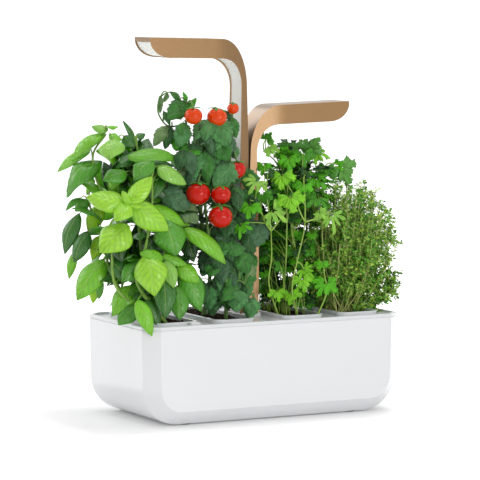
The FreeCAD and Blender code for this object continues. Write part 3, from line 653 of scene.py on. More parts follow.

# Leaves seen in the photograph: base and tip pixels, half width in pixels, depth of base and tip
# in mm, roll in degrees, arch, tint, which carries that leaf's painted light and shade
BASIL_LEAVES = [
    (108, 130, 92, 127, 5, 10, 20, 35, 0.10, PALE),
    (107, 127, 118, 127, 2, 5, 5, 60, 0.05, FRESH),
    (104, 134, 73, 161, 7, 15, 34, 55, 0.22, FRESH),
    (113, 140, 109, 160, 14, -20, -40, 10, 0.20, PALE),
    (90, 149, 58, 172, 6, 40, 46, 45, 0.14, PALE),
    (101, 162, 68, 197, 12, 20, 34, 40, 0.34, MID),
    (93, 178, 87, 195, 4, 40, 45, 20, 0.10, BRIGHT),
    (124, 204, 87, 198, 12, -55, -30, 30, 0.16, BRIGHT),
    (130, 205, 122, 191, 4, -60, -60, 20, 0.10, BRIGHT),
    (130, 205, 144, 205, 4, -60, -62, 40, 0.10, BRIGHT),
    (129, 203, 152, 177, 10, -58, -62, 15, 0.10, BRIGHT),
    (130, 204, 115, 221, 10, -58, -66, 10, 0.14, BRIGHT),
    (128, 226, 101, 253, 17, -55, -58, 15, 0.20, BRIGHT),
    (133, 206, 167, 231, 13, -55, -60, 20, 0.14, BRIGHT),
    (150, 208, 184, 226, 10, -42, -46, 25, 0.10, FRESH),
    (157, 167, 185, 185, 8, -40, -50, 40, 0.16, PALE),
    (128, 158, 177, 160, 7, -28, -30, 55, 0.18, LEAFY),
    (135, 164, 173, 166, 8, -22, -24, -35, 0.10, DEEP),
    (151, 158, 134, 181, 10, -38, -46, 15, 0.12, MID),
    (166, 222, 176, 256, 17, -50, -64, 5, 0.16, MID),
    (184, 229, 225, 264, 9, -50, -64, 30, 0.22, FRESH),
    (148, 255, 155, 296, 17, -62, -76, 5, 0.20, BRIGHT),
    (163, 259, 140, 254, 6, -60, -62, 45, 0.20, FRESH),
    (166, 261, 174, 288, 8, -62, -70, 10, 0.14, PALE),
    (163, 256, 186, 265, 6, -56, -60, 30, 0.12, FRESH),
    (178, 265, 199, 283, 9, -54, -62, 15, 0.12, FRESH),
    (184, 268, 201, 311, 13, -48, -62, 10, 0.14, MID),
    (164, 275, 166, 318, 12, -58, -72, 5, 0.14, DEEP),
    (178, 286, 180, 320, 11, -52, -64, 5, 0.12, MID),
    (138, 300, 152, 336, 8, -72, -80, 15, 0.10, FRESH),
    (104, 260, 78, 300, 13, -6, 4, 20, 0.18, FRESH),
    (95, 284, 93, 303, 5, 10, 14, 20, 0.10, LIT),
    (101, 280, 99, 299, 4, 2, 4, 30, 0.10, MID),
    (133, 286, 112, 316, 11, -30, -28, 15, 0.16, FRESH),
    (134, 306, 119, 325, 10, -40, -36, 10, 0.14, MID),
    (79, 214, 65, 254, 8, 30, 38, 35, 0.16, DEEP),
    (88, 232, 75, 262, 9, 14, 22, 25, 0.16, DEEP),
    (75, 252, 69, 279, 5, 30, 36, 20, 0.12, FRESH),
    (87, 200, 75, 211, 7, 22, 28, 15, 0.12, MID),
    (81, 198, 66, 211, 3, 30, 36, 45, 0.20, MID),
    (101, 205, 88, 232, 9, 20, 24, 10, 0.10, LIT),
    (143, 152, 116, 168, 8, -6, -14, 35, 0.12, DEEP),
    (126, 172, 103, 181, 9, -24, -28, 20, 0.12, MID),
    (124, 136, 134, 149, 7, -2, -8, 10, 0.12, DEEP),
    (134, 138, 123, 121, 3, 0, 4, 35, 0.08, DEEP),
    (136, 137, 145, 134, 4, 0, 0, 40, 0.10, DEEP),
    (109, 136, 122, 140, 5, 0, -6, 30, 0.12, FRESH),
    (116, 238, 122, 262, 8, -30, -42, 15, 0.10, DARK),
    (112, 262, 128, 280, 9, -30, -40, 15, 0.12, DEEP),
    (140, 262, 122, 282, 9, -44, -50, 15, 0.14, MID),
    (156, 235, 144, 256, 9, -36, -44, 15, 0.12, DARK),
    (186, 236, 194, 262, 9, -34, -42, 15, 0.10, DARK),
    (146, 300, 160, 326, 8, -52, -62, 10, 0.12, DEEP),
    (160, 176, 152, 200, 8, -30, -38, 15, 0.12, DEEP),
    (152, 182, 172, 200, 9, -28, -34, 20, 0.12, DARK),
    (100, 236, 92, 260, 7, 14, 16, 15, 0.10, LIT),
    (118, 168, 112, 190, 8, -8, -14, 15, 0.12, FRESH),
]


def basil_stems():
    return [
        rooted(1, -6, -34, (118, 290, -36), (112, 250, -30), (110, 225, -40), (130, 204, -57)),
        rooted(1, -2, -46, (138, 285, -52), (142, 262, -56), (147, 240, -48), (152, 210, -44),
               (152, 168, -38)),
        rooted(1, 4, -24, (160, 290, -40), (164, 262, -50), (165, 225, -44)),
        rooted(1, -10, 10, (112, 275, 0), (104, 245, 8), (98, 225, 18), (88, 203, 24)),
        rooted(1, -4, 20, (128, 250, 10), (110, 205, 10), (98, 183, 14), (93, 155, 16),
               (106, 134, 10)),
        rooted(1, 2, 0, (140, 240, -10), (140, 190, -10), (138, 153, -4), (134, 136, 0)),
        rooted(1, 6, 36, (150, 250, 30), (140, 200, 30), (120, 165, 20), (112, 142, 0)),
    ]


def fill_leaves(grower, twigs, paths, rng, count, centre, radii, size, tints, **look):
    """Leaves inside a plant's crown: they leave the nearest stem outwards and hang a little."""
    for _ in range(count):
        direction = unit(rng.normal(size=3) + np.array([0, 0, 0.15]))
        share = rng.uniform(0.35, 0.92)
        base = np.asarray(centre) + direction * np.asarray(radii) * share * 0.72
        start = nearest_on(paths, base, 0.01)
        outward = unit(unit(base - start + 1e-5) + direction * 1.2 + np.array([0, 0, -0.5]))
        length = rng.uniform(*size)
        tip = base + outward * length
        normal = unit(np.array([0, 0, 1.0]) + direction * 0.7 + rng.normal(size=3) * 0.2)
        tint = varied(rng, tints[rng.integers(len(tints))])
        blade(grower, base, tip, length * rng.uniform(0.24, 0.34), normal, tint,
              arch=rng.uniform(0.08, 0.2), rng=rng, **look)
        petiole(twigs, paths, base, 0.0007)


def seen_leaves(grower, twigs, paths, places, rng, radius, outline=ovate, **look):
    for bx, by, tx, ty, half, base_depth, tip_depth, roll, arch, tint in places:
        base = spot(bx, by, base_depth)
        tip = spot(tx, ty, tip_depth)
        width = half * PIXEL / max(0.5, math.cos(math.radians(roll)))
        normal = view_normal(base, tip, roll)
        blade(grower, base, tip, width, normal, varied(rng, tint, 0.07), arch=arch, outline=outline,
              rng=rng, **look)
        petiole(twigs, paths, base, radius)


def basil():
    rng = np.random.default_rng(SEED)
    leaves, twigs = Grower(), Grower()
    paths = basil_stems()
    for path in paths:
        twigs.tube(path, np.linspace(0.0021, 0.0011, len(path)), sides=7)
    seen_leaves(leaves, twigs, paths, BASIL_LEAVES, rng, 0.0008, puff=0.13, camber=0.42)
    look = {"outline": ovate, "puff": 0.08, "camber": 0.35, "rows": 16, "columns": 9}
    # Crown leaves draw half their tints from DEEP and DARK: painted shade inside the crown
    fill_leaves(leaves, twigs, paths, rng, 110, (-0.132, 0.012, 0.225), (0.072, 0.062, 0.098),
                (0.026, 0.044), (DEEP, DARK, MID, FRESH), **look)
    fill_leaves(leaves, twigs, paths, rng, 60, (-0.128, -0.004, 0.165), (0.056, 0.056, 0.042),
                (0.024, 0.038), (DEEP, DARK, MID, FRESH), **look)
    made = leaves.build("basil_leaves", BASIL_LEAF, PLANT_BODY, "basil_leaf", 0.00035)
    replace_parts(made, "basil_plant")
    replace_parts(twigs.build("basil_stems", BASIL_STEM, PLANT_BODY, "basil_leaf"), "basil_plant")


# Tomato

# Tomato tints: partly the plant's own greens, partly painted light and shade of where each leaf sits;
# TOMATO_LIT is a painted-light tint, used on lit leaves and the calyces, TOMATO_DARK painted shade on
# leaves inside the plant
BLUE_GREEN = srgb(82, 142, 88)
TOMATO_MID = srgb(60, 128, 50)
TOMATO_DARK = srgb(38, 90, 40)
TOMATO_LIT = srgb(80, 168, 34)
ASH = srgb(124, 150, 108)
SLATE = srgb(72, 112, 86)

TOMATO_LEAVES = [
    (187, 103, 168, 119, 11, -10, -20, 10, 0.10, TOMATO_MID),
    (161, 97, 160, 113, 3, 0, 2, 20, 0.10, ASH),
    (180, 99, 170, 92, 3, -4, -2, 20, 0.08, TOMATO_MID),
    (168, 94, 164, 102, 2.5, 0, 0, 20, 0.08, ASH),
    (164, 112, 170, 125, 3, -4, -8, 20, 0.10, BLUE_GREEN),
    (190, 108, 196, 98, 3, -16, -16, 20, 0.08, TOMATO_LIT),
    (187, 101, 183, 92, 2, -14, -14, 20, 0.08, TOMATO_LIT),
    (169, 127, 154, 146, 7, -6, -12, 15, 0.24, ASH),
    (172, 128, 165, 149, 6, -10, -18, 10, 0.20, TOMATO_DARK),
    (181, 133, 176, 151, 9, -14, -20, 5, 0.08, TOMATO_LIT),
    (207, 121, 194, 139, 8, -30, -40, 10, 0.14, BLUE_GREEN),
    (212, 118, 204, 141, 8, -38, -50, 10, 0.14, BLUE_GREEN),
    (214, 119, 229, 146, 12, -40, -52, 5, 0.14, BLUE_GREEN),
    (231, 117, 236, 138, 6, -26, -32, 15, 0.12, TOMATO_MID),
    (222, 112, 231, 119, 4, -24, -28, 20, 0.10, TOMATO_DARK),
    (216, 142, 229, 161, 11, -36, -46, 5, 0.12, TOMATO_MID),
    (232, 146, 236, 159, 6, -28, -30, 15, 0.12, BLUE_GREEN),
    (200, 146, 177, 160, 8, -28, -36, 25, 0.12, TOMATO_LIT),
    (197, 152, 193, 174, 10, -34, -42, 5, 0.10, BLUE_GREEN),
    (205, 152, 209, 185, 8, -38, -46, 5, 0.10, TOMATO_MID),
    (187, 162, 180, 177, 6, -24, -30, 15, 0.12, ASH),
    (234, 164, 214, 187, 12, -46, -54, 10, 0.14, BLUE_GREEN),
    (241, 180, 260, 178, 10, -24, -30, 10, 0.14, TOMATO_MID),
    (241, 174, 234, 184, 5, -26, -30, 15, 0.12, TOMATO_DARK),
    (178, 202, 198, 223, 11, -34, -44, 10, 0.12, ASH),
    (163, 192, 190, 208, 11, -34, -46, 5, 0.12, SLATE),
    (180, 182, 166, 190, 6, -30, -36, 15, 0.10, TOMATO_DARK),
    (226, 245, 244, 254, 8, -40, -46, 10, 0.12, TOMATO_MID),
    (241, 253, 247, 274, 10, -44, -50, 5, 0.12, TOMATO_MID),
    (250, 264, 251, 283, 6, -40, -44, 15, 0.12, ASH),
    (238, 288, 221, 300, 9, -44, -50, 15, 0.12, TOMATO_MID),
    (238, 290, 236, 312, 11, -50, -58, 5, 0.12, BLUE_GREEN),
    (253, 298, 249, 319, 9, -48, -58, 5, 0.12, BLUE_GREEN),
    (247, 231, 250, 261, 8, -34, -40, 10, 0.12, TOMATO_DARK),
    (262, 222, 253, 248, 11, -34, -40, 5, 0.12, SLATE),
    (214, 260, 210, 277, 9, -34, -40, 10, 0.12, TOMATO_MID),
    (222, 236, 236, 242, 7, -32, -38, 20, 0.12, TOMATO_DARK),
    (205, 236, 212, 256, 7, -26, -30, 20, 0.12, TOMATO_DARK),
    (196, 280, 206, 304, 8, -24, -34, 15, 0.12, TOMATO_DARK),
    (214, 296, 212, 316, 8, -30, -40, 15, 0.12, TOMATO_DARK),
    (232, 222, 240, 240, 6, -36, -42, 15, 0.12, TOMATO_DARK),
]

# Stems that grow from the soil, ahead of the side branches in the list below
TOMATO_MAIN_STEMS = 3
# Fruits above this height get the lighter orange tint
TOMATO_ORANGE_HEIGHT = 0.33

# Parts of the photograph that small tomato leaves fill: left, top, right, bottom, number
TOMATO_WINDOWS = [
    (182, 122, 232, 178, 22),
    (208, 230, 254, 290, 30),
    (228, 186, 254, 226, 12),
]

TOMATO_RED = srgb(206, 20, 2)
ORANGE = srgb(240, 72, 2)


def tomato_stems():
    return [
        rooted(2, 4, -34, (226, 282, -40), (217, 262, -36), (211, 248, -30), (206, 215, -26),
               (204, 180, -26), (205, 150, -28), (208, 122, -30)),
        rooted(2, -6, 4, (210, 270, -4), (202, 220, -10), (194, 180, -14), (190, 150, -14),
               (186, 120, -14), (188, 104, -12)),
        rooted(2, 6, 20, (232, 280, -8), (232, 240, -16), (232, 200, -22), (230, 160, -24),
               (232, 118, -24)),
        offshoot((186, 124, -14), (168, 126, -6), (158, 112, 0), (161, 97, 2), (172, 92, -2),
                 (181, 100, -8)),
        offshoot((226, 281, -41), (240, 281, -44), (248, 288, -46), (254, 298, -48)),
        offshoot((204, 190, -26), (186, 190, -26), (170, 190, -30)),
        offshoot((232, 230, -18), (248, 224, -26), (262, 222, -33)),
    ]


def fruit(grower, centre, radius, tint):
    rows, columns = 20, 32
    polar = np.linspace(0, math.pi, rows)
    turn = np.linspace(0, 2 * math.pi, columns)
    ridge = 1 + 0.012 * np.cos(5 * turn)[None, :] * np.sin(polar)[:, None]
    dimple = 0.10 * np.exp(-(polar / 0.42) ** 2)[:, None]
    x = np.sin(polar)[:, None] * np.cos(turn)[None, :] * ridge
    y = np.sin(polar)[:, None] * np.sin(turn)[None, :] * ridge
    z = np.cos(polar)[:, None] * 0.93 - dimple + 0 * turn[None, :]
    grid = np.stack([x, y, z], -1) * radius * 0.985 + centre
    grower.sheet(grid, tint)


def calyx(leaves, twigs, centre, radius, rng, paths):
    top = centre + np.array([0, 0, radius * 0.84])
    start = rng.uniform(0, 6.28)
    for k in range(5):
        angle = start + k * 2 * math.pi / 5
        out = np.array([math.cos(angle), math.sin(angle), 0.0])
        tip = centre + out * radius * 0.88 + np.array([0, 0, radius * rng.uniform(0.5, 0.95)])
        facing = np.array([0, 0, 1.0]) + out * 0.4
        blade(leaves, top, tip, radius * 0.15, facing, varied(rng, TOMATO_LIT),
              arch=0.12, outline=lance, puff=0.0, rows=8, columns=5, rng=rng)
    join = nearest_on(paths, top + np.array([0, 0, 0.012]), 0.0)
    middle = (join + top) / 2 + np.array([0, 0, 0.012])
    twigs.tube(arc_points(join, middle, top, 8), np.linspace(0.0013, 0.0010, 8), sides=6)


def fruit_places():
    """Middle and radius of each fruit solid, read from the separate spheres of its CAD node."""
    mesh = frame["nodes"]["tomato_fruits"].data
    points = np.array([v.co for v in mesh.vertices], float)
    parent = list(range(len(points)))

    def root(k):
        while parent[k] != k:
            parent[k] = parent[parent[k]]
            k = parent[k]
        return k

    for edge in mesh.edges:
        a, b = root(edge.vertices[0]), root(edge.vertices[1])
        parent[a] = b
    groups = {}
    for k in range(len(points)):
        groups.setdefault(root(k), []).append(points[k])
    merged = {}
    for group in groups.values():
        group = np.array(group)
        low, high = group.min(0), group.max(0)
        key = tuple(np.round((low + high) / 2, 4))
        if key not in merged or merged[key] < (high - low).max() / 2:
            merged[key] = (high - low).max() / 2
    return sorted((key, value) for key, value in merged.items() if value > 0.004)


def tomato():
    rng = np.random.default_rng(SEED + 1)
    leaves, twigs, skins, caps = Grower(), Grower(), Grower(), Grower()
    paths = tomato_stems()
    for number, path in enumerate(paths):
        radius = 0.0024 if number < TOMATO_MAIN_STEMS else 0.0011
        twigs.tube(path, np.linspace(radius, radius * 0.5, len(path)), sides=7)
    look = {"outline": lobed, "puff": 0.10, "camber": 0.28, "crinkle": 0.10}
    seen_leaves(leaves, twigs, paths, TOMATO_LEAVES, rng, 0.0008, **look)
    # Leaves filled in the crown and the windows draw two of five tints from TOMATO_DARK: painted
    # shade inside the plant
    shades = (TOMATO_DARK, TOMATO_MID, SLATE, BLUE_GREEN, TOMATO_DARK)
    fill_leaves(leaves, twigs, paths, rng, 130, (-0.050, 0.006, 0.235), (0.042, 0.046, 0.108),
                (0.018, 0.032), shades, **look)
    for left, top, right, low, count in TOMATO_WINDOWS:
        for _ in range(count):
            x, y, depth = rng.uniform(left, right), rng.uniform(top, low), rng.uniform(-40, -24)
            lean, drop = rng.uniform(-10, 10), rng.uniform(14, 26)
            row = (x, y, x + lean, y + drop, rng.uniform(5, 9), depth, depth - 5,
                   rng.uniform(0, 40), 0.14, shades[rng.integers(len(shades))])
            seen_leaves(leaves, twigs, paths, [row], rng, 0.0006, **look)
    for centre, radius in fruit_places():
        centre = np.array(centre)
        # Fruits higher up get the lighter orange tint, lower ones the deeper red
        high_fruit = centre[2] > TOMATO_ORANGE_HEIGHT
        fruit(skins, centre, radius, varied(rng, ORANGE if high_fruit else TOMATO_RED, 0.04))
        calyx(caps, twigs, centre, radius, rng, paths)
    made = leaves.build("tomato_leaves", TOMATO_LEAF, PLANT_BODY, "tomato_leaf", 0.00035)
    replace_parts(made, "tomato_plant")
    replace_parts(twigs.build("tomato_stems", TOMATO_STEM, PLANT_BODY, "tomato_leaf"), "tomato_plant")
    made = skins.build("tomato_fruit_skins", FRUIT_SKIN, PLANT_BODY, "tomato_skin")
    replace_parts(made, "tomato_fruits")
    caps.build("tomato_calyces", TOMATO_LEAF, PLANT_BODY, "tomato_leaf", 0.0004)


# Parsley

# Parsley tints: partly the plant's own greens, partly painted light and shade of where each leaf
# sits; PARSLEY_LIT carries painted light on lit leaves, PARSLEY_DARK painted shade on leaves inside
# the crown
PARSLEY_LIT = srgb(132, 206, 40)
PARSLEY_PALE = srgb(150, 206, 86)
PARSLEY_FRESH = srgb(90, 184, 18)
PARSLEY_MID = srgb(66, 142, 24)
PARSLEY_DARK = srgb(24, 74, 18)
PARSLEY_GREY = srgb(98, 158, 74)

# Middle of the leaf, the pixel that its middle lobe points at, half width, depth, roll, tint, which
# carries that leaf's painted light and shade
PARSLEY_LEAVES = [
    (266, 140, 272, 132, 6, -10, 20, PARSLEY_MID),
    (268, 146, 281, 152, 8, -8, 30, PARSLEY_PALE),
    (281, 147, 292, 144, 6, -8, 50, PARSLEY_MID),
    (300, 150, 302, 138, 8, -4, 15, PARSLEY_GREY),
    (310, 150, 320, 138, 9, -6, 20, PARSLEY_GREY),
    (314, 152, 330, 159, 8, -10, 35, PARSLEY_LIT),
    (289, 157, 290, 172, 9, -20, 10, PARSLEY_FRESH),
    (303, 152, 304, 168, 9, -16, 10, PARSLEY_MID),
    (264, 164, 262, 176, 7, -20, 20, PARSLEY_FRESH),
    (268, 172, 274, 178, 6, -30, 20, PARSLEY_DARK),
    (282, 174, 281, 190, 11, -36, 10, PARSLEY_LIT),
    (340, 166, 350, 183, 13, -10, 10, PARSLEY_GREY),
    (337, 166, 344, 161, 6, -8, 20, PARSLEY_FRESH),
    (326, 166, 322, 178, 10, -6, 20, PARSLEY_MID),
    (290, 196, 294, 214, 13, -50, 10, PARSLEY_LIT),
    (304, 184, 298, 196, 10, -34, 20, PARSLEY_FRESH),
    (272, 210, 286, 222, 8, -46, 20, PARSLEY_PALE),
    (258, 180, 249, 194, 7, -44, 10, PARSLEY_PALE),
    (250, 204, 248, 219, 9, -46, 10, PARSLEY_FRESH),
    (240, 224, 240, 241, 6, -44, 20, PARSLEY_FRESH),
    (319, 212, 326, 219, 7, -50, 10, PARSLEY_PALE),
    (331, 213, 334, 235, 7, -52, 15, PARSLEY_PALE),
    (303, 268, 314, 280, 6, -48, 35, PARSLEY_LIT),
    (302, 278, 305, 292, 9, -52, 10, PARSLEY_LIT),
    (322, 262, 318, 270, 8, -56, 30, PARSLEY_FRESH),
    (326, 282, 318, 296, 9, -64, 10, PARSLEY_FRESH),
    (328, 284, 338, 292, 8, -64, 20, PARSLEY_FRESH),
    (277, 290, 279, 304, 7, -44, 20, PARSLEY_LIT),
    (290, 292, 290, 307, 8, -50, 20, PARSLEY_LIT),
    (316, 176, 326, 190, 9, -20, 20, PARSLEY_FRESH),
    (318, 196, 306, 208, 9, -38, 20, PARSLEY_MID),
    (262, 192, 258, 208, 8, -40, 20, PARSLEY_MID),
]

# Leaves inside the crown: middle, half sizes, range of leaf lengths, number
PARSLEY_FILL = [
    ((0.066, 0.006, 0.262), (0.046, 0.046, 0.046), (0.011, 0.018), 95),
    ((0.050, 0.020, 0.190), (0.036, 0.036, 0.056), (0.011, 0.017), 150),
    ((0.044, -0.004, 0.132), (0.022, 0.048, 0.014), (0.008, 0.013), 30),
]

# Parts of the photograph that small parsley leaves fill: left, top, right, bottom, number
PARSLEY_WINDOWS = [
    (262, 228, 312, 298, 62),
    (264, 164, 318, 222, 26),
    (284, 288, 312, 306, 14),
]
# Thin shoots that stand in the soil round the main stems
PARSLEY_SPROUTS = 46


def parsley_stems():
    return [
        rooted(3, -18, -40, (269, 285, -42), (271.5, 257, -42), (271, 231, -42)),
        offshoot((271, 231, -42), (265, 222, -42), (258, 204, -42), (250, 200, -44)),
        offshoot((271, 231, -42), (269, 214, -40), (266, 192, -38), (262, 184, -40)),
        offshoot((271, 231, -42), (279, 221, -44), (288, 208, -46), (290, 196, -49)),
        rooted(3, 0, -52, (292, 290, -54), (297, 262, -52), (303, 236, -50), (305, 222, -48)),
        offshoot((305, 222, -48), (300, 212, -48), (294, 196, -46), (282, 176, -36)),
        offshoot((305, 222, -48), (305, 204, -44), (304, 186, -36), (302, 160, -16)),
        offshoot((305, 222, -48), (318, 218, -50), (330, 212, -52)),
        offshoot((297, 262, -52), (301, 264, -50), (304, 270, -48)),
        rooted(3, -4, -20, (286, 258, -24), (287, 215, -20), (288, 175, -18), (290, 157, -18)),
        rooted(3, 4, -8, (296, 262, -14), (292, 235, -14), (289, 205, -10), (280, 165, -6),
               (268, 146, -6)),
        rooted(3, 2, 10, (300, 270, 4), (312, 225, 0), (316, 188, -4), (326, 165, -6),
               (338, 164, -8)),
        rooted(3, 6, 24, (304, 270, 20), (306, 220, 14), (304, 185, 6), (310, 152, -4)),
        rooted(3, -10, 30, (276, 270, 26), (282, 220, 20), (280, 170, 8), (264, 150, -4),
               (266, 138, -8)),
        rooted(3, 16, -62, (322, 305, -66), (327, 292, -65), (327, 283, -64)),
        offshoot((327, 285, -64), (324.5, 276, -60), (324, 262, -57)),
    ]


def palmate(grower, middle, toward, half_width, normal, tint, rng, leaflets=3):
    """A leaf of flat parsley: three stalked leaflets, each cut into three toothed lobes."""
    middle, toward, normal = (np.asarray(v, float) for v in (middle, toward, normal))
    reach = np.linalg.norm(toward - middle)
    axis = (toward - middle) / reach
    normal = unit(normal - axis * (normal @ axis))
    side = np.cross(axis, normal)
    for k in range(leaflets):
        place = k - (leaflets - 1) / 2
        angle = place * math.radians(rng.uniform(58, 74))
        length = reach * (1.0 - 0.14 * abs(place)) * rng.uniform(0.9, 1.08)
        heading = unit(axis * math.cos(angle) + side * math.sin(angle) - normal * 0.16 * abs(place))
        across = np.cross(normal, heading)
        start = middle + heading * length * 0.12
        for lobe in (-1, 0, 1):
            bend = lobe * math.radians(rng.uniform(30, 40))
            turned = unit(heading * math.cos(bend) + across * math.sin(bend))
            end = start + turned * length * (0.88 if lobe == 0 else 0.62)
            width = half_width * (0.31 if lobe == 0 else 0.26)
            droop = normal + rng.normal(size=3) * 0.12
            shade = varied(rng, tint, 0.07)
            blade(grower, start, end, width, droop, shade, arch=rng.uniform(0.03, 0.14),
                  camber=-0.2, outline=wedge, puff=0.06, veins=3, rows=9, columns=5, rng=rng)
            for tooth in (-1, 1):
                point = start + (end - start) * 0.62
                spread = unit(turned + np.cross(normal, turned) * tooth * 0.8)
                inner, outer = point - spread * width * 0.3, point + spread * width * 1.7
                blade(grower, inner, outer, width * 0.42, droop, shade, arch=0.05, camber=-0.1,
                      outline=wedge, puff=0.0, rows=5, columns=3, rng=rng)


def parsley():
    rng = np.random.default_rng(SEED + 2)
    leaves, twigs = Grower(), Grower()
    paths = parsley_stems()
    for path in paths:
        twigs.tube(path, np.linspace(0.0011, 0.0007, len(path)), sides=7)
    for x, y, tx, ty, half, depth, roll, tint in PARSLEY_LEAVES:
        middle = spot(x, y, depth)
        toward = spot(tx, ty, depth - 4)
        normal = view_normal(middle, toward, roll)
        palmate(leaves, middle, toward, half * PIXEL, normal, tint, rng)
        petiole(twigs, paths, middle, 0.0006, rise=0.003, drop=0.02)
    for heart, radii, size, count in PARSLEY_FILL:
        heart, radii = np.array(heart), np.array(radii)
        for k in range(count):
            direction = unit(rng.normal(size=3) + np.array([0, 0.1, 0.1]))
            middle = heart + direction * radii * rng.uniform(0.25, 1.0)
            length = rng.uniform(*size)
            toward = middle + unit(direction + np.array([0, 0, -0.4])) * length
            # Crown leaves draw two of five tints from PARSLEY_DARK: painted shade inside the crown
            tint = (PARSLEY_MID, PARSLEY_DARK, PARSLEY_FRESH, PARSLEY_DARK, PARSLEY_MID)[k % 5]
            facing = direction + np.array([0, 0, 0.8])
            palmate(leaves, middle, toward, length * 0.9, facing, tint, rng)
            petiole(twigs, paths, middle, 0.0005, rise=0.003, drop=0.02)
    shades = (PARSLEY_MID, PARSLEY_DARK, PARSLEY_MID, PARSLEY_FRESH)
    for left, top, right, low, count in PARSLEY_WINDOWS:
        for k in range(count):
            x, y, depth = rng.uniform(left, right), rng.uniform(top, low), rng.uniform(-28, 26)
            middle = spot(x, y, depth)
            toward = spot(x + rng.uniform(-7, 7), y + rng.uniform(3, 9), depth - 3)
            facing = view_normal(middle, toward, rng.uniform(0, 45))
            palmate(leaves, middle, toward, 0.0085, facing, shades[k % len(shades)], rng)
            petiole(twigs, paths, middle, 0.0005, rise=0.003, drop=0.02)
    heart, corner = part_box("growing_medium_3")
    for _ in range(PARSLEY_SPROUTS):
        foot = np.array([rng.uniform(heart.x + 0.008, corner.x - 0.010), rng.uniform(-0.060, 0.030),
                         corner.z - 0.001])
        lean = np.array([rng.uniform(-0.012, 0.010), rng.uniform(-0.008, 0.008),
                         rng.uniform(0.020, 0.070)])
        bow = foot + lean * np.array([0.2, 0.2, 0.6])
        path = arc_points(foot, bow, foot + lean, 6)
        twigs.tube(path, np.linspace(0.0006, 0.0004, 6), (0.7, 0.7, 0.6, 1), sides=4)
    made = leaves.build("parsley_leaves", PARSLEY_LEAF, PLANT_BODY, "parsley_leaf", 0.0003)
    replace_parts(made, "parsley_plant")
    made = twigs.build("parsley_stems", PARSLEY_STEM, PLANT_BODY, "parsley_leaf")
    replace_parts(made, "parsley_plant")


# Thyme

THYME_TINTS = (srgb(128, 198, 72), srgb(98, 168, 52), srgb(164, 212, 102), srgb(74, 132, 46),
               srgb(190, 228, 96))
THYME_CENTRE = (0.138, 0.0, 0.192)
THYME_RADII = (0.063, 0.058, 0.079)
THYME_TWIGS = 270
THYME_SHOOTS = 5
THYME_BARE_EVERY = 5
THYME_LEAF_LENGTH = (0.0032, 0.0058)
THYME_BRANCH = ((352, 316, -30), (368, 309, -34), (384, 296, -34), (394, 280, -30))


def tiny_leaf(grower, base, tip, width, normal, tint):
    axis = unit(tip - base)
    side = unit(np.cross(axis, normal)) * width
    middle = base * 0.5 + tip * 0.5 + normal * width * 0.35
    points = [base, middle - side, middle + side, tip]
    grower.add(points, [(0, 1, 3, 2)], [(0, 0.5), (0.5, 0.2), (0.5, 0.8), (1, 0.5)], tint)


def leafy_twig(leaves, twigs, rng, path, radius, first, pairs, size):
    """A thin twig with pairs of tiny leaves from the share first of its length to its tip."""
    steps = len(path)
    pale = rng.uniform(0.8, 1.1)
    twigs.tube(path, np.linspace(radius, radius * 0.5, steps), (pale, pale, pale, 1), sides=4)
    for pair in range(pairs):
        place = (first + (1 - first) * (pair + rng.uniform(0, 0.9)) / pairs) * (steps - 1)
        row = min(int(place), steps - 2)
        point = path[row] + (path[row + 1] - path[row]) * (place - row)
        along = unit(path[row + 1] - path[row])
        across = unit(np.cross(along, rng.normal(size=3)))
        length = rng.uniform(*size)
        tint = varied(rng, THYME_TINTS[rng.integers(len(THYME_TINTS))], 0.18)
        for side in (-1, 1):
            tip = point + unit(across * side + along * rng.uniform(0.2, 0.9)) * length
            facing = unit(along + rng.normal(size=3) * 0.5)
            tiny_leaf(leaves, point, tip, length * 0.30, facing, tint)


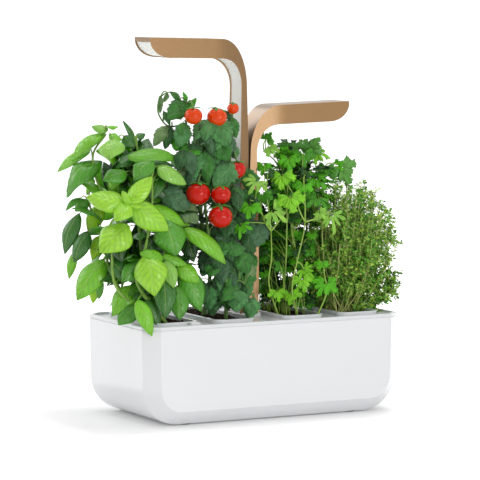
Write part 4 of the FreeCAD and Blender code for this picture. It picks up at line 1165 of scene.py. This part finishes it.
def thyme():
    rng = np.random.default_rng(SEED + 3)
    leaves, twigs, wood = Grower(), Grower(), Grower()
    low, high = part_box("growing_medium_4")
    root = np.array([(low.x + high.x) / 2, 0.0, high.z - 0.001])
    centre = np.array(THYME_CENTRE)
    radii = np.array(THYME_RADII)
    steps = 16
    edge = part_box("thyme_plant")[1].x - 0.006
    for k in range(THYME_TWIGS):
        direction = unit(rng.normal(size=3) + np.array([0.0, 0.0, 0.25]))
        direction[2] = max(direction[2], -0.62)
        share = rng.uniform(0.86, 1.0) if k % 3 else rng.uniform(0.5, 0.86)
        end = centre + direction * radii * share
        end[0] = min(end[0], edge)
        end[2] = max(end[2], high.z + 0.012)
        start = root + np.array([rng.uniform(-0.012, 0.012), rng.uniform(-0.04, 0.04), 0.0])
        rise = np.array([0.0, 0.0, (end[2] - start[2]) * rng.uniform(0.15, 0.4)])
        pull = start + (end - start) * np.array([0.72, 0.72, 0.0]) + rise
        path = arc_points(start, pull, end, steps)
        path[2:] += np.cumsum(rng.normal(size=(steps, 3)) * 0.0008, axis=0)[2:] * 0.6
        bare = k % THYME_BARE_EVERY == 0
        leafy_twig(leaves, twigs, rng, path, 0.0009 if bare else 0.0006, rng.uniform(0.12, 0.4),
                   9 if bare else 22, THYME_LEAF_LENGTH)
        for _ in range(THYME_SHOOTS):
            row = rng.integers(steps // 2, steps - 1)
            along = unit(path[row + 1] - path[row])
            heading = unit(along + rng.normal(size=3) * 0.6 + np.array([0, 0, 0.3]))
            reach = rng.uniform(0.008, 0.016)
            goal = path[row] + heading * reach + np.array([0, 0, 0.003])
            goal[0] = min(goal[0], edge)
            shoot = arc_points(path[row], path[row] + (goal - path[row]) * 0.6, goal, 5)
            leafy_twig(leaves, twigs, rng, shoot, 0.0004, 0.15, 6, THYME_LEAF_LENGTH)
    bark = [Vector(root)] + [spot(*place) for place in THYME_BRANCH]
    branch = stem_path(bark)
    wood.tube(branch, np.linspace(0.0016, 0.0008, len(branch)), sides=7)
    for row in range(6, len(branch) - 1):
        for _ in range(4):
            heading = unit(rng.normal(size=3) + np.array([0.1, 0.0, 0.8]))
            goal = branch[row] + heading * rng.uniform(0.008, 0.020)
            goal[0] = min(goal[0], edge)
            shoot = arc_points(branch[row], branch[row] + (goal - branch[row]) * 0.5, goal, 5)
            leafy_twig(leaves, twigs, rng, shoot, 0.0005, 0.1, 8, THYME_LEAF_LENGTH)
    for k in range(9):
        angle = k * 0.7
        start = root + np.array([0.006 * math.cos(angle), 0.03 * math.sin(angle * 1.7), 0.0])
        end = centre + np.array([0.03 * math.cos(angle), 0.03 * math.sin(angle), -0.02])
        wood.tube(arc_points(start, (start + end) / 2 + rng.normal(size=3) * 0.006, end, 9),
                  np.linspace(0.0013, 0.0007, 9), sides=6)
    made = leaves.build("thyme_leaves", THYME_LEAF, PLANT_BODY, "thyme_leaf", 0.0)
    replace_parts(made, "thyme_plant")
    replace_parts(twigs.build("thyme_twigs", THYME_STEM, PLANT_BODY, "thyme_leaf"), "thyme_plant")
    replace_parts(wood.build("thyme_wood", WOODY_STEM, PLANT_BODY, "thyme_leaf"), "thyme_plant")


# Soil and wicks: a block of growing medium with an uneven crumbly top, and the felt strip under it

# The medium narrows with its pod by 3 mm a side over 62 mm of depth
MEDIUM_SLOPE = 3.0 / 62.0
SOIL_INSET = 0.0008
SOIL_CORNER = 0.008
SOIL_WAVES = 14
SOIL_LOWEST = 0.0002
# How far soil and wicks stop short of the ends of their solids
END_INSET = 0.0002
WICK_INSET = 0.0005
WICK_THICKNESS = 0.0015


def soil_block(number):
    """Growing medium with the solid's rounded corners, whose top rises in waves and crumbs."""
    rng = np.random.default_rng(SEED + 10 + number)
    low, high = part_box("growing_medium_%d" % number)
    rows, columns = 90, 34
    y = np.linspace(low.y + SOIL_INSET, high.y - SOIL_INSET, rows)
    x = np.linspace(low.x + SOIL_INSET, high.x - SOIL_INSET, columns)
    height = np.zeros((rows, columns))
    for _ in range(SOIL_WAVES):
        turn = rng.uniform(0, 6.28)
        rate = rng.uniform(90, 520)
        phase = rng.uniform(0, 6.28)
        along = x[None, :] * math.cos(turn) + y[:, None] * math.sin(turn)
        height += np.sin(along * rate + phase) / SOIL_WAVES
    height = 0.0022 * height + 0.0009 * rng.normal(size=height.shape) + 0.0022
    half_x, half_y = np.ptp(x) / 2, np.ptp(y) / 2
    from_x, from_y = np.abs(x - x.mean()), np.abs(y - y.mean())
    dx = np.maximum(0, from_x - (half_x - SOIL_CORNER))
    dy = np.maximum(0, from_y - (half_y - SOIL_CORNER))
    reach = np.sqrt(dx[None, :] ** 2 + dy[:, None] ** 2)
    squeeze = np.where(reach > SOIL_CORNER, SOIL_CORNER / (reach + 1e-9), 1.0)
    gx = x.mean() + np.sign(x - x.mean())[None, :] * (
        np.minimum(from_x, half_x - SOIL_CORNER)[None, :] + dx[None, :] * squeeze)
    gy = y.mean() + np.sign(y - y.mean())[:, None] * (
        np.minimum(from_y, half_y - SOIL_CORNER)[:, None] + dy[:, None] * squeeze)
    inside = np.minimum((half_x - from_x)[None, :], (half_y - from_y)[:, None])
    edge = np.minimum(1.0, inside / 0.002)
    top = np.stack([gx, gy, high.z + 0.0001 + np.maximum(height, SOIL_LOWEST) * edge], -1)
    shrink = (high.z - low.z) * MEDIUM_SLOPE
    bottom = np.stack([
        x.mean() + (gx - x.mean()) * (1 - 2 * shrink / np.ptp(x)),
        y.mean() + (gy - y.mean()) * (1 - 2 * shrink / np.ptp(y)),
        np.full((rows, columns), low.z + END_INSET),
    ], -1)
    grower = Grower()
    grower.block(top, bottom)
    block = grower.build("soil_block_%d" % number, SLOT_MATERIALS["soil"], PLANT_BODY, "soil",
                         smooth=False)
    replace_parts(block, "growing_medium_%d" % number)


def wick_strip(number):
    """A felt strip that hangs from the pod with soft waves and slightly uneven edges."""
    rng = np.random.default_rng(SEED + 20 + number)
    low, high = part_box("wick_%d" % number)
    rows, columns = 40, 9
    z = np.linspace(high.z - END_INSET, low.z + END_INSET, rows)
    half = (high.y - low.y) / 2 - WICK_INSET
    wobble = 1 - 0.03 * rng.uniform(0, 1, rows)
    across = np.linspace(-1, 1, columns)
    y = (low.y + high.y) / 2 + half * across[None, :] * wobble[:, None]
    wave = 0.0002 * np.sin(z * 260 + number)[:, None] * np.cos(across * 1.3)[None, :]
    grid = np.stack([(low.x + high.x) / 2 + wave, y, z[:, None] + 0 * y], -1)
    grower = Grower()
    grower.sheet(grid, (1, 1, 1, 1))
    strip = grower.build("wick_strip_%d" % number, SLOT_MATERIALS["wick_felt"], PLANT_BODY,
                         "wick_felt", WICK_THICKNESS)
    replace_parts(strip, "wick_%d" % number)


# Copper band across the open tip of each lamp, over the end of its liner

TIP_BAND_HEIGHT = 0.005
TIP_BAND_THICKNESS = 0.001
TIP_BAND_BOW = 0.0004
TIP_BAND_EDGE = 0.0003
TIP_CLEARANCE = 0.00005
SHELL_WALL = 0.0016


def tip_band(side, toward):
    """The band on one lamp, whose tip points to +X for toward 1 and to -X for toward -1."""
    low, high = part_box(side + "_arm_shell")
    tip = high.x if toward > 0 else low.x
    x0, x1 = sorted((tip - toward * TIP_CLEARANCE, tip - toward * TIP_BAND_THICKNESS))
    y0, y1 = low.y + SHELL_WALL, high.y - SHELL_WALL
    z0, z1 = high.z - TIP_BAND_HEIGHT, high.z - SHELL_WALL
    columns = 24
    y = np.linspace(y0, y1, columns)
    bow = TIP_BAND_BOW * (1 - np.linspace(-1, 1, columns) ** 2)
    front = np.full(columns, x0)
    near = np.stack([
        np.stack([front, y, z0 - bow], -1),
        np.stack([front, y, np.full(columns, z1)], -1),
    ])
    far = near + np.array([x1 - x0, 0, 0])
    grower = Grower()
    grower.block(far, near)
    piece = grower.build(side + "_tip_band", SLOT_MATERIALS["copper_paint"], side + "_arm",
                         "copper_paint", smooth=False)
    edge = piece.modifiers.new("edge", "BEVEL")
    edge.width = TIP_BAND_EDGE
    edge.segments = 3
    edge.limit_method = "ANGLE"


# Studio


def floor_material():
    """White paper sweep. What the camera and mirrors see gets a little light of its own."""
    shader = Shader("studio_floor", Roughness=0.9, Specular_IOR_Level=0.0)
    fine = shader.noise(3.0, 2.0)
    shader.set("Base Color", shader.mix(fine, (0.92, 0.92, 0.92, 1), (0.90, 0.90, 0.90, 1)))
    place = shader.tree.nodes.new("ShaderNodeSeparateXYZ")
    shader.tree.links.new(shader.coords.outputs["Object"], place.inputs[0])
    squares = []
    for axis, half in enumerate(FLOOR_PATCH):
        shift = shader.math("SUBTRACT", place.outputs[axis], FLOOR_PATCH_MIDDLE[axis])
        beyond = shader.math("SUBTRACT", shader.math("ABSOLUTE", shift), half)
        squares.append(shader.math("POWER", shader.math("MAXIMUM", beyond, 0.0), 2.0))
    reach = shader.math("SQRT", shader.math("ADD", *squares))
    glow = shader.range(reach, FLOOR_SHADOW_REACH, FLOOR_WHITE_REACH, FLOOR_NEAR_GLOW, 1.0)
    shader.set("Emission Color", (1, 1, 1, 1))
    shader.set("Emission Strength", shader.math("MULTIPLY", shader.seen_rays(), glow))
    return shader.material


def stage():
    size = 60.0
    mesh = bpy.data.meshes.new("studio_floor")
    corners = [(-size, -size, 0), (size, -size, 0), (size, size, 0), (-size, size, 0)]
    mesh.from_pydata(corners, [], [(0, 1, 2, 3)])
    mesh.materials.append(floor_material())
    floor = bpy.data.objects.new("studio_floor", mesh)
    bpy.context.scene.collection.objects.link(floor)


def world_light():
    """A dim white surround, which the camera, mirrors and clear parts see as plain white."""
    world = bpy.data.worlds.new("studio")
    bpy.context.scene.world = world
    world.use_nodes = True
    nodes = Nodes(world.node_tree)
    background = nodes.tree.nodes["Background"]
    strength = nodes.range(nodes.seen_rays(), 0.0, 1.0, AMBIENT, 1.0)
    nodes.put(strength, background.inputs["Strength"])
    background.inputs["Color"].default_value = (1, 1, 1, 1)


def panel(name, place, target, size, power):
    lamp = bpy.data.lights.new(name, "AREA")
    lamp.shape = "RECTANGLE"
    lamp.size, lamp.size_y = size
    lamp.energy = power
    holder = bpy.data.objects.new(name, lamp)
    holder.location = place
    holder.rotation_euler = (Vector(place) - Vector(target)).to_track_quat("Z", "Y").to_euler()
    bpy.context.scene.collection.objects.link(holder)


def lights():
    middle = (0.0, 0.0, 0.2)
    panel("key_left", (-2.2, 1.3, 1.2), middle, (1.6, 1.6), 20)
    panel("front", (0.15, -2.75, 0.4), middle, (1.4, 0.7), 22)
    panel("front_high", (0.0, -2.4, 2.2), middle, (1.4, 1.0), 7)
    panel("fill_right", (2.4, 0.1, 1.0), middle, (1.4, 1.6), 2)
    panel("top", (0.0, 0.1, 2.6), middle, (2.2, 1.8), 32)
    panel("rim_back", (-0.5, 2.4, 1.4), middle, (1.8, 1.0), 13)


def camera():
    data = bpy.data.cameras.new("photo_view")
    data.sensor_width = SENSOR_WIDTH
    data.lens = FOCAL_PIXELS / PHOTO_SIZE * SENSOR_WIDTH
    data.clip_start, data.clip_end = 0.1, 300.0
    holder = bpy.data.objects.new("photo_view", data)
    holder.location = CAMERA_PLACE
    holder.rotation_euler = CAMERA_BACK.to_track_quat("Z", "Y").to_euler()
    bpy.context.scene.collection.objects.link(holder)
    bpy.context.scene.camera = holder
    bpy.context.scene.view_settings.view_transform = "Standard"


camera()
dress_cad_nodes()
basil()
tomato()
parsley()
thyme()
for number in (1, 2, 3, 4):
    soil_block(number)
    wick_strip(number)
tip_band("left", -1)
tip_band("right", 1)
stage()
world_light()
lights()
